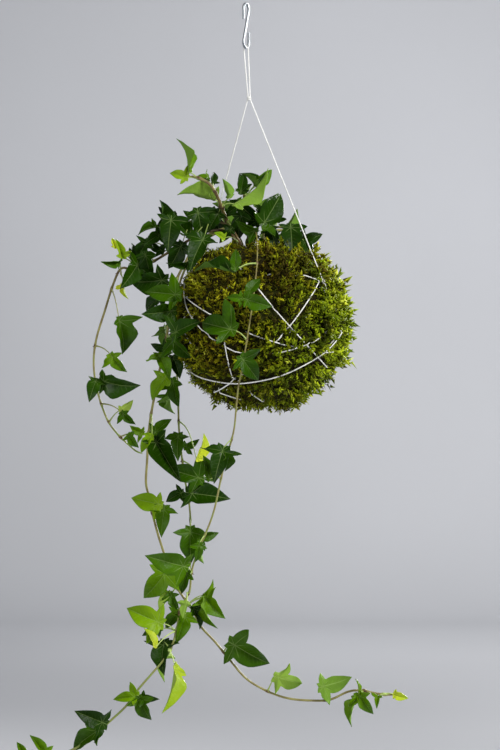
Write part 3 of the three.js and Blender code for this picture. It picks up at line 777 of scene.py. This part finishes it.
def backdrop():
    """A plain pale floor well below the plant, which sweeps up into a plain wall far behind it."""

    def build(work):
        start = work.verts.new((-9.0, PAPER_WALL - SWEEP, PAPER_FLOOR))
        middle = (-9.0, PAPER_WALL - SWEEP, PAPER_FLOOR + SWEEP)
        quarter = {"axis": (1, 0, 0), "angle": math.pi / 2, "steps": 24}
        cove = bmesh.ops.spin(work, geom=[start], cent=middle, dvec=(0, 0, 0), **quarter)
        top = next(item for item in cove["geom_last"] if isinstance(item, bmesh.types.BMVert))
        for end, way in ((start, (0, -14.0, 0)), (top, (0, 0, 9.0))):
            grown = bmesh.ops.extrude_vert_indiv(work, verts=[end])
            bmesh.ops.translate(work, verts=grown["verts"], vec=way)
        sheet = bmesh.ops.extrude_edge_only(work, edges=work.edges[:])
        far_side = [item for item in sheet["geom"] if isinstance(item, bmesh.types.BMVert)]
        bmesh.ops.translate(work, verts=far_side, vec=(18.0, 0, 0))
        bmesh.ops.recalc_face_normals(work, faces=work.faces)

    mesh = mesh_from(build)
    mesh.materials.append(paper_finish())
    mesh.shade_smooth()
    made = add_object("paper_sweep", mesh)


def lamp(name, place, aim, size, power, colour=NEUTRAL, spread=180):
    data = bpy.data.lights.new(name, "AREA")
    data.shape = "DISK"
    data.size = size
    data.energy = power
    data.color = colour
    data.spread = math.radians(spread)
    made = add_object(name, data)
    made.location = place
    made.rotation_euler = (Vector(aim) - Vector(place)).to_track_quat("-Z", "Y").to_euler()
    made.visible_camera = False


def studio():
    """Soft window light from the upper right, a weaker fill from the left, and a pale room all round."""
    lamp("window", (1.9, -1.9, 1.5), PLANT_MIDDLE, 1.2, 120, (1.0, 0.99, 0.97))
    lamp("fill", (-2.4, -2.0, 0.5), PLANT_MIDDLE, 1.4, 34, (0.99, 0.99, 1.0))
    lamp("wall_wash", (2.2, 2.2, -0.1), (0.2, 5.4, -1.2), 1.8, 56)
    lamp("floor_wash", (0.2, 3.7, 0.5), (0.2, 5.6, -0.85), 1.2, 8)
    lamp("floor_front", (-0.5, 1.7, 0.1), (-0.4, 1.9, PAPER_FLOOR), 0.8, 1.5, spread=110)
    lamp("back_fill", (1.4, 2.2, 0.5), PLANT_MIDDLE, 0.9, 16, spread=60)
    world = bpy.data.worlds.new("room")
    world.use_nodes = True
    sky = world.node_tree.nodes["Background"].inputs
    sky["Color"].default_value = (0.90, 0.91, 0.93, 1.0)
    sky["Strength"].default_value = 0.2
    bpy.context.scene.world = world
    bpy.context.scene.view_settings.view_transform = "Standard"


# ---- the hook and the cord ----

def in_hook(side, height, off=0.0):
    """A point of the hook's plane, which is turned about the vertical, and how far off that plane it is."""
    cos = math.cos(HOOK["turn"])
    sin = math.sin(HOOK["turn"])
    return [side * cos - off * sin, side * sin + off * cos, height]


def s_hook(steel):
    """An S of round wire, with the edges of its cut ends eased."""
    radius = HOOK["bend"] + HOOK["wire"] / 2
    top = -HOOK["bend"]
    bottom = HOOK["wire"] - HOOK["height"] + radius + HOOK["wire"] / 2
    line = [in_hook(-radius, top - HOOK["leg"])]
    for centre, start, end in ((top, 180, 0), (bottom, 180, 360)):
        for angle in np.radians(np.linspace(start, end, 25)):
            line.append(in_hook(radius * math.cos(angle), centre + radius * math.sin(angle)))
    line.append(in_hook(radius, bottom + HOOK["leg"]))
    points = evenly(line, 0.6)
    eased = [points[i] + 0.3 * (points[j] - points[i]) for i, j in ((0, 1), (-1, -2))]
    points = np.vstack([points[0], eased[0], points[1:-1], eased[1], points[-1]])
    radii = np.full(len(points), HOOK["wire"] / 2)
    radii[[0, -1]] *= 0.8
    piece("hook_wire", rods([{"points": points, "radius": radii}], 16), [steel], "hook_steel", "s_hook")


def tie_places():
    """Where the cord's ends are tied: just over the binding thread."""
    return unit(TIES) * (BALL_RADIUS + THREAD + 3 * CLEARANCE) + BALL_CENTRE


def hanging_cord(cotton):
    """One cord from the right tie up to the knot, over the hook's bottom bend and down to the left tie."""
    wire_centre = 1.5 * HOOK["wire"] - HOOK["height"]
    away = (HOOK["wire"] + THREAD) / 2 + CLEARANCE
    over = [
        in_hook(0, wire_centre + away * math.sin(angle), -away * math.cos(angle))
        for angle in np.radians(np.linspace(-8, 188, 19))
    ]
    right, left = tie_places()
    pinch = np.array([0.95, -0.45, 0.0])
    spread = np.array([1.3, -0.65, 0.0])
    below = CORD_KNOT - [0, 0, 1.6]
    above = CORD_KNOT + [0, 0, 2.2]
    rising = [right, below + spread, CORD_KNOT + pinch, above + pinch]
    falling = [above - pinch, CORD_KNOT - pinch, below - spread, left]
    path = evenly([*rising, *over, *falling], 1.0)
    cord = rods([{"points": path, "radius": CORD_RADIUS}], *CORD_YARN)
    cord_piece = piece("cotton_cord", cord, [cotton], "cotton", "hanging_cord")
    knot = piece("cord_knots", rods(knot_turns(right, left), *CORD_YARN), [cotton], "cotton")
    tuple(right * MM)


def knot_turns(right, left):
    """Turns of cotton: wrapped level round the main knot, and round the cord's end at each tie."""
    knots = [
        (CORD_KNOT, np.array([0.0, 0.0, 1.0]), 2.6, 1.25),
        (right, right - CORD_KNOT, 2.2, 0.95),
        (left, left - CORD_KNOT, 2.2, 0.95),
    ]
    lines = []
    for centre, way, turns, size in knots:
        axis = unit(way)
        across = unit(np.cross(axis, [0.3, 0.9, 0.2]))
        third = np.cross(axis, across)
        angle = np.linspace(0, 2 * math.pi * turns, int(14 * turns))[:, None]
        share = np.linspace(-1, 1, len(angle))[:, None]
        swell = np.cos(share * math.pi / 2)
        wrap = size * (1.0 + 0.25 * swell) * (np.cos(angle) * across + np.sin(angle) * third)
        points = centre + wrap + axis * share * CORD_RADIUS * turns
        lines.append({"points": points, "radius": 0.55 + 0.12 * swell[:, 0]})
    return lines


# ---- the binding thread ----

def front_points(places):
    """Points on the ball's front, from how far right of its centre and above it each is."""
    pairs = np.reshape(places, (-1, 2)).astype(float)
    depth = -np.sqrt(BALL_RADIUS**2 - (pairs**2).sum(1))
    return np.stack([pairs[:, 0], depth, pairs[:, 1]], axis=1)


class Winding:
    """One turn of the thread round the ball, in a plane of its own."""

    def __init__(self, places, on_top):
        first, second, third = front_points(places)
        self.normal = unit(np.cross(second - first, third - first))
        self.offset = self.normal @ first
        self.start = unit(first - self.offset * self.normal)
        self.quarter = np.cross(self.normal, self.start)
        self.radius = math.sqrt(BALL_RADIUS**2 - self.offset**2)
        self.on_top = on_top

    def points(self, angle):
        """Its points, from the ball's centre, at angles round it."""
        ring = np.outer(np.cos(angle), self.start) + np.outer(np.sin(angle), self.quarter)
        return ring * self.radius + self.normal * self.offset

    def showing(self, angle):
        """How far it stands out of the moss at angles round it: 1 is on top of it, 0 is sunk in it."""
        x, y = self.points(angle).T[:2]
        on_top = np.any([(x > low) & (x < high) for low, high in self.on_top], axis=0)
        wave = np.sin(3 * angle + 9 * self.offset) + np.sin(7 * angle + 2 * self.offset)
        return np.where(y < 8, on_top * 1.0, np.clip(0.75 + 0.8 * wave, 0, 1))


def binding_thread(windings, cotton):
    """The windings, and the short stretches that come up between them."""
    lines = []
    for winding in windings:
        count = round(2 * math.pi * winding.radius / THREAD_STEP)
        angle = np.linspace(0, 2 * math.pi, count, endpoint=False)
        proud = np.mean([winding.showing(angle + shift) for shift in (-0.04, -0.02, 0, 0.02, 0.04)], axis=0)
        reach = (BALL_RADIUS - 4.2 + 4.6 * proud + 0.2 * np.sin(11 * angle)) / BALL_RADIUS
        sway = 0.3 * np.sin(5 * angle + winding.offset)
        points = BALL_CENTRE + winding.points(angle) * reach[:, None] + np.outer(sway, winding.normal)
        lines.append({"points": points, "radius": THREAD_RADIUS, "closed": True})
    for places in STRETCHES:
        line = evenly(smooth_line(front_points(places)), THREAD_STEP)
        share = np.linspace(0, math.pi, len(line))[:, None]
        reach = BALL_RADIUS - 3.4 + 4.2 * np.minimum(1, 2.5 * np.sin(share))
        lines.append({"points": BALL_CENTRE + unit(line) * reach, "radius": STRETCH_RADIUS})
    piece("wound_thread", rods(lines, *THREAD_YARN), [cotton], "cotton", "binding_thread")


# ---- the moss ----

def shoot_shape(work, leaflets, flat, spread, width):
    """A moss shoot one unit tall: a thin stem and pointed leaflets, in two rows or all round."""
    cone = {"cap_ends": True, "cap_tris": True, "segments": 3, "radius2": 0.0}
    bmesh.ops.create_cone(work, **cone, radius1=0.05, depth=1.0, matrix=Matrix.Translation((0, 0, 0.5)))
    for i in range(leaflets):
        share = (i + 0.6) / leaflets
        turn = math.pi * i + 0.5 * math.sin(5 * i) if flat else 2.4 * i
        length = spread * (1.15 - 0.55 * share)
        matrix = (
            Matrix.Translation((0, 0, 0.12 + 0.76 * share))
            @ Matrix.Rotation(turn, 4, "Z")
            @ Matrix.Rotation(math.radians(62 - 30 * share), 4, "Y")
            @ Matrix.Diagonal((0.4, 1.0, 1.0, 1.0))
            @ Matrix.Translation((0, 0, length / 2))
        )
        bmesh.ops.create_cone(work, **cone, radius1=width, depth=length, matrix=matrix)
    bmesh.ops.remove_doubles(work, verts=work.verts, dist=1e-5)
    bmesh.ops.triangulate(work, faces=work.faces)
    bmesh.ops.recalc_face_normals(work, faces=work.faces)


def shoot_shapes():
    return [corners(mesh_from(lambda work, form=form: shoot_shape(work, *form))) for form in SHOOT_FORMS]


def round_about(turn, out, height):
    """Points at angles round the vertical, how far out from it and how high."""
    return np.stack(np.broadcast_arrays(out * np.cos(turn), out * np.sin(turn), height), axis=1)


def even_directions(count):
    """Directions spread evenly over a ball."""
    step = np.arange(count) + 0.5
    height = 1 - 2 * step / count
    return round_about(step * math.pi * (3 - math.sqrt(5)), np.sqrt(1 - height**2), height)


def moss_roots(directions):
    """Where lines from the ball's middle leave the moss, in mm, with the directions that do."""
    points, faces = corners(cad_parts["moss_cover"].data)
    tree = BVHTree.FromPolygons(points.tolist(), faces)
    roots = []
    kept = []
    for direction in directions:
        start = Vector((BALL_CENTRE + 110 * direction) * MM)
        hit = tree.ray_cast(start, Vector(-direction), 0.05)[0]
        if hit is not None:
            roots.append(np.array(hit) / MM)
            kept.append(direction)
    return np.array(roots), np.array(kept)


def nearest_thread(windings, directions):
    """For each direction: how far off the nearest thread that shows is, and which way leads away from it."""
    least = np.full(len(directions), 99.0)
    away = np.zeros((len(directions), 3))
    for winding in windings:
        tilt = np.arcsin(directions @ winding.normal) - math.asin(winding.offset / BALL_RADIUS)
        angle = np.arctan2(directions @ winding.quarter, directions @ winding.start)
        gap = np.abs(tilt) * BALL_RADIUS + 6 * (1 - winding.showing(angle))
        nearer = gap < least
        least = np.where(nearer, gap, least)
        away = np.where(nearer[:, None], np.sign(tilt)[:, None] * winding.normal, away)
    return least, away


def swirl(directions):
    """The way that neighbouring shoots lean together, like combed hair."""
    x, y, z = directions.T
    wide = np.stack([np.sin(7 * y + 4 * z), np.sin(6 * z - 5 * x + 2), np.sin(8 * x + 3 * y + 1)], axis=1)
    return wide + 0.6 * np.stack([np.sin(17 * z + 2), np.sin(15 * x + 1), np.sin(19 * y)], axis=1)


def lean_of(rng, directions, gap, away, length, root_radius):
    """The way each shoot points: up from the ball and tipped over, flatter and outwards beside a thread."""
    count = len(directions)
    tangent = rng.normal(size=(count, 3)) * 0.55 + away * np.clip(2.0 - 0.3 * gap, 0, 2)[:, None]
    tangent += 1.1 * swirl(directions)
    tangent[:, 2] += 0.2
    tangent = unit(tangent - (tangent * directions).sum(1)[:, None] * directions)
    upright = np.cos(np.radians(rng.uniform(*SHOOT_TILTS, count)))
    room = BALL_RADIUS - 0.4 + 1.3 * np.maximum(gap - 1.2, 0)
    upright = np.clip(np.minimum(upright, (room - root_radius) / length), 0.12, 1)
    return unit(directions * upright[:, None] + tangent * np.sqrt(1 - upright**2)[:, None])


def grow(rng, shape, roots, points_to, length, bend, width):
    """Copies of a shoot: stood on their roots, pointed, stretched, widened and bent over."""
    x, y, z = shape[0].T[:, None]
    side = unit(np.cross(points_to, rng.normal(size=points_to.shape)))
    third = np.cross(points_to, side)
    tall = z * length[:, None]
    wide = (length * width)[:, None]
    copies = roots[:, None] + (x * wide + bend[:, None] * z * tall)[..., None] * side[:, None]
    return copies + (y * wide)[..., None] * third[:, None] + tall[..., None] * points_to[:, None]


def batch_of(shape, copies, tint, gold):
    """Copies of a shoot with how far up each point is, and how bright and how yellow each copy is."""
    points, faces = shape
    return faces, copies, {"reach": points[:, 2], "tint": tint[:, None], "gold": gold[:, None]}


def patches(directions, table):
    """How much each direction gains from the patches near it."""
    total = np.zeros(len(directions))
    for middle, width, amount in table:
        total += amount * np.exp(-(np.linalg.norm(directions - unit(np.array(middle)), axis=1) / width) ** 2)
    return total


def moss_shoots(windings, finish):
    """Thousands of small shoots over the moss, in four patches."""
    rng = np.random.default_rng(7)
    shapes = shoot_shapes()
    directions = even_directions(SHOOTS)
    directions = unit(directions + rng.normal(size=directions.shape) * 0.012)
    roots, directions = moss_roots(directions)
    gap, away = nearest_thread(windings, directions)
    keep = gap > OFF_THREAD
    roots, directions, gap, away = roots[keep], directions[keep], gap[keep], away[keep]
    count = len(roots)
    radius = np.linalg.norm(roots - BALL_CENTRE, axis=1)
    x, y, z = directions.T
    vigour = 1 + 0.14 * x + 0.26 * np.sin(9 * x + 4 * z) * np.sin(8 * y - 5 * z + 1) - 0.36 * np.abs(z) ** 3
    vigour = vigour * np.where(rng.random(count) < 0.11 + 0.16 * x, 1.8, 1.0)
    length = rng.uniform(*SHOOT_LENGTHS, count) * vigour
    roots = roots - directions * SHOOT_SUNK
    points_to = lean_of(rng, directions, gap, away, length, radius - SHOOT_SUNK)
    tint = np.clip(rng.beta(2.0, 2.2, count) + patches(directions, BRIGHT_PATCHES), 0, 1)
    gold = np.clip(rng.beta(1.4, 2.4, count) + patches(directions, GOLD_PATCHES), 0, 1)
    quarter = np.where(x > 0.13, 0, 1) + np.where(y > 0, 2, 0)
    for number, name in enumerate(("front_right", "front_left", "back_right", "back_left")):
        batches = []
        kind = rng.integers(0, len(shapes), count)
        for which, shape in enumerate(shapes):
            here = (quarter == number) & (kind == which)
            bend = rng.uniform(-0.35, 0.35, here.sum())
            width = rng.uniform(0.8, 1.25, here.sum())
            copies = grow(rng, shape, roots[here], points_to[here], length[here], bend, width)
            batches.append(batch_of(shape, copies, tint[here], gold[here]))
        piece("moss_" + name, mesh_of_copies(batches), [finish], "moss")


def rim_shoots(finish):
    """Shoots that lean in over the opening where the ivy comes out."""
    rng = np.random.default_rng(11)
    shape = shoot_shapes()[1]
    count = RIM_SHOOTS
    turn = rng.uniform(0, 2 * math.pi, count)
    out = rng.uniform(-1.5, 3.5, count)
    height = BALL_CENTRE[2] + CROWN - rng.uniform(0, 4, count)
    roots = OPENING + round_about(turn, OPENING_RADIUS + out, height)
    inwards = -round_about(turn, 1.0, 0.0) * rng.uniform(0.1, 1.1, (count, 1))
    points_to = unit(inwards + np.array([0, 0, 1.0]) + rng.normal(size=(count, 3)) * 0.3)
    length = rng.uniform(3.0, 6.0, count)
    bend = rng.uniform(-0.4, 0.4, count)
    copies = grow(rng, shape, roots, points_to, length, bend, np.full(count, 1.1))
    batch = batch_of(shape, copies, rng.beta(2.2, 3.0, count), rng.beta(2.6, 2.0, count))
    piece("moss_rim", mesh_of_copies([batch]), [finish], "moss")


def soil_crumbs(finish):
    """Loose crumbs on the soil in the opening."""
    rng = np.random.default_rng(5)
    ball = mesh_from(lambda work: bmesh.ops.create_icosphere(work, subdivisions=1, radius=1.0))
    points, faces = corners(ball)
    turn = rng.uniform(0, 2 * math.pi, CRUMBS)
    out = OPENING_RADIUS * np.sqrt(rng.random(CRUMBS))
    height = BALL_CENTRE[2] + CROWN - 6.4 + rng.uniform(-0.6, 1.2, CRUMBS)
    middles = OPENING + round_about(turn, out, height)
    size = rng.uniform(0.7, 2.2, CRUMBS)
    lumps = points * size[:, None, None] * rng.uniform(0.75, 1.2, (CRUMBS, len(points), 1))
    piece("soil_crumbs", mesh_of_copies([(faces, lumps + middles[:, None], {})]), [finish], "soil")


# ---- the ivy ----

def placed(x, y, z):
    """Where something really is that looks from EYE as if it were at x and z, at a depth of y."""
    nearness = (y - EYE[1]) / -EYE[1]
    return np.array([EYE[0] + (x - EYE[0]) * nearness, y, EYE[2] + (z - EYE[2]) * nearness])


class Leaf:
    """One leaf, from its row of the table. Its number on its stem makes it differ a little from the next."""

    def __init__(self, number, row):
        self.number = number
        self.stalk_end = placed(*row[:3])
        self.tip = placed(*row[3:6])
        self.tip[1] += 0.4 * np.linalg.norm(self.tip - self.stalk_end) * math.sin(2.1 * number + 0.6)
        self.roll, self.age, *more = row[6:]
        self.fold = more[0] if more else 0.42 + 0.15 * math.sin(2.4 * number)
        self.lobed = more[1] if more[1:] else 1.0

    def outline(self, disc):
        """A five-lobed blade: how far along and beside its midrib each point of a disc comes to lie."""
        share = np.hypot(disc[:, 0], disc[:, 1])
        spoke = np.arctan2(disc[:, 1], disc[:, 0]) / (2 * math.pi) * SPOKES
        angle = np.radians(np.interp(np.abs(spoke), np.arange(len(FAN)), FAN)) * np.sign(spoke)
        reach = np.full(len(disc), HEART)
        for axis, long, wide in LOBES:
            for hand in (-1, 1):
                vary = math.sin(3.1 * self.number + 1.7 * hand + axis)
                length = long * (self.lobed * (1 + 0.14 * vary) if axis else 1)
                width = wide * (1 + 0.16 * vary) * (0.4 + 0.6 * self.lobed if axis else 1)
                reach = np.maximum(reach, lobe_reach(angle, math.radians(hand * axis), length, width))
        swing = np.radians(6 * np.sin(3.1 * self.number + 1.7 * np.sign(angle)))
        angle = angle + swing * np.sin(np.abs(angle))
        return HEART + share * reach * np.cos(angle), share * reach * np.sin(angle)

    def blade(self, along, side):
        """The points of its blade in mm: folded at the midrib, creased at each rib, rippled and curled."""
        number = self.number
        length = np.linalg.norm(self.tip - self.stalk_end)
        ahead = (self.tip - self.stalk_end) / length
        face = np.array([0.0, -1.0, 0.0])
        face = unit(face - (face @ ahead) * ahead)
        face = np.array(Matrix.Rotation(math.radians(self.roll), 3, Vector(ahead)) @ Vector(face))
        across = np.cross(face, ahead)
        hand = np.sign(side)
        away = eased(side, 0.015)
        slope = self.fold + 0.3 * math.sin(4.3 * number + 1) * hand
        turned = (0.35 * np.sin(5.1 * number + 1.2 * hand) + 0.1) * np.maximum(0, away - 0.16)
        ripple = 0.1 * np.sin(15 * along + 3 * number) * side**2 / 0.2
        curl = 0.55 * np.maximum(0, np.hypot(along - HEART, side) - 0.3) ** 2
        droop = (0.1 + 0.08 * math.cos(1.7 * number)) * along * np.abs(along)
        lift = slope * away + turned + 0.34 * from_ribs(along, side) + ripple - curl - droop
        flat = np.outer(along, ahead) + np.outer(side / np.sqrt(1 + slope**2), across)
        return self.stalk_end + length * (flat + np.outer(lift, face))

    def stalk(self, stem):
        """Its stalk's line: it leaves the stem nearer the root than the blade is, and arches a little."""
        whole = lengths_along(stem)[-1]
        joints = evenly(stem, whole / round(whole / STEM_STEP))
        middles = (joints[1:] + joints[:-1]) / 2
        distance = np.linalg.norm(middles - self.stalk_end, axis=1)
        foot = middles[max(0, int(distance.argmin()) - round(distance.min() / 2 / STEM_STEP))]
        end = self.stalk_end + 0.05 * (self.tip - self.stalk_end)
        share = np.linspace(0, 1, 14)[:, None]
        arch = 0.09 * np.linalg.norm(end - foot) * np.sin(math.pi * share) * np.array([0.15, -0.2, 1.0])
        return foot + (end - foot) * share + arch


def lobe_reach(angle, axis, length, width):
    """How far a pointed lobe's edge is from the heart of the blade, at angles from the midrib."""
    share = np.linspace(0.002, 1, 160)
    half = width * 3.15 * share**0.66 * (1 - share) ** 1.1
    bearing = np.arctan2(half, length * share)[::-1]
    reach = np.hypot(half, length * share)[::-1]
    return np.interp(np.abs(angle - axis), bearing, reach, right=0.0)


def eased(distance, ease):
    """How far away, either way, with the crease at 0 rounded off."""
    return np.sqrt(distance**2 + ease**2) - ease


def from_ribs(along, side):
    """How far each point of a blade is from the nearest lobe's rib: the blade is creased at every rib."""
    axes = np.radians([lobe[:1] for lobe in LOBES])
    ahead = along - HEART
    away = np.abs(side)
    beside = ahead * np.sin(axes) - away * np.cos(axes)
    behind = np.maximum(0, -(ahead * np.cos(axes) + away * np.sin(axes)))
    return eased(np.hypot(beside, behind).min(0), 0.012)


def disc_shape():
    """A flat disc of rings and spokes that every blade is drawn from, with its faces in a fixed order."""

    def build(work):
        spoke = [work.verts.new((share, 0, 0)) for share in BLADE_RINGS]
        line = [work.edges.new(pair) for pair in zip(spoke, spoke[1:])]
        whole = {"axis": (0, 0, 1), "angle": 2 * math.pi, "steps": SPOKES, "use_merge": True}
        bmesh.ops.spin(work, geom=spoke + line, cent=(0, 0, 0), dvec=(0, 0, 0), **whole)
        close_up(work, within=1e-4)
        if sum(face.normal.z for face in work.faces) < 0:
            bmesh.ops.reverse_faces(work, faces=work.faces)

    points, faces = corners(mesh_from(build))
    return points, sorted(min(face[i:] + face[:i] for i in range(len(face))) for face in faces)


def ivy_leaves(name, leaves, finishes, disc, faces):
    outlines = [leaf.outline(disc) for leaf in leaves]
    blades = [leaf.blade(*outline) for leaf, outline in zip(leaves, outlines)]
    along, side = np.swapaxes(outlines, 0, 1)
    age = np.array([[leaf.age] for leaf in leaves])
    mesh = mesh_of_copies([(faces, np.array(blades), {"along": along, "side": side, "age": age})])
    made = piece(name, mesh, finishes, "ivy")
    wall = made.modifiers.new("thickness", "SOLIDIFY")
    wall.thickness = BLADE * MM
    wall.offset = 0.0
    wall.material_offset = 1
    wall.material_offset_rim = 0


def ivy_stems(name, plant, leaves, finish):
    """A stem with a swelling where each stalk leaves it, its stalks, and the stubs of aerial roots."""
    stem = evenly(smooth_line([placed(*point) for point in plant["route"]]), 1.6)
    share = np.linspace(0, 1, len(stem))
    radius = np.interp(share, [0, 1], plant["radius"])
    radius[-4:] *= [0.95, 0.85, 0.65, 0.35]
    lines = []
    for leaf in leaves:
        stalk = leaf.stalk(stem)
        from_foot = np.linalg.norm(stem - stalk[0], axis=1)
        radius = radius + 0.4 * np.exp(-((from_foot / 2.2) ** 2))
        thick = np.linspace(0.62, 0.4, len(stalk)) + 0.35 * np.exp(-np.linspace(0, 9, len(stalk)))
        lines.append({"points": stalk, "radius": thick, "green": min(1.0, plant["stalks"] + 0.15 * leaf.age)})
        lines.append(root_stub(stem[from_foot.argmin()], leaf.number))
    green = np.interp(share, [0, 1], plant["green"]) + 0.06 * np.sin(np.arange(len(stem)) * 0.7)
    lines.append({"points": stem, "radius": radius, "green": green})
    piece(name + "_stems", rods(lines, 8), [finish], "ivy", name)


def root_stub(foot, number):
    """A short brown stub of an aerial root beside a leaf stalk."""
    way = unit(np.array([math.cos(2.3 * number), math.sin(2.3 * number), -0.5]))
    reach = np.linspace(0, 2.2 + 0.8 * math.sin(number), 5)[:, None]
    return {"points": foot + way * reach, "radius": np.linspace(0.6, 0.15, 5), "green": 0.18}


def ivy():
    upper = leaf_finish()
    under = leaf_finish(under=True)
    bark = bark_finish()
    disc, faces = disc_shape()
    for name, plant in IVY.items():
        leaves = [Leaf(*numbered) for numbered in enumerate(plant["leaves"] + plant.get("small", []))]
        ivy_stems(name, plant, leaves, bark)
        ivy_leaves(name + "_leaves", leaves, [upper, under], disc, faces)


def dress(node, material):
    """Gives a CAD node its finish."""
    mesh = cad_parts[node].data
    mesh.materials.clear()
    mesh.materials.append(material)


camera()
cotton = cotton_finish()
hanging_cord(cotton)
windings = [Winding(*row) for row in WINDINGS]
binding_thread(windings, cotton)
s_hook(steel_finish())
soil = soil_finish()
dress("soil_ball", soil)
dress("moss_cover", moss_mat_finish())
moss = moss_finish()
moss_shoots(windings, moss)
rim_shoots(moss)
soil_crumbs(soil)
ivy()
backdrop()
studio()
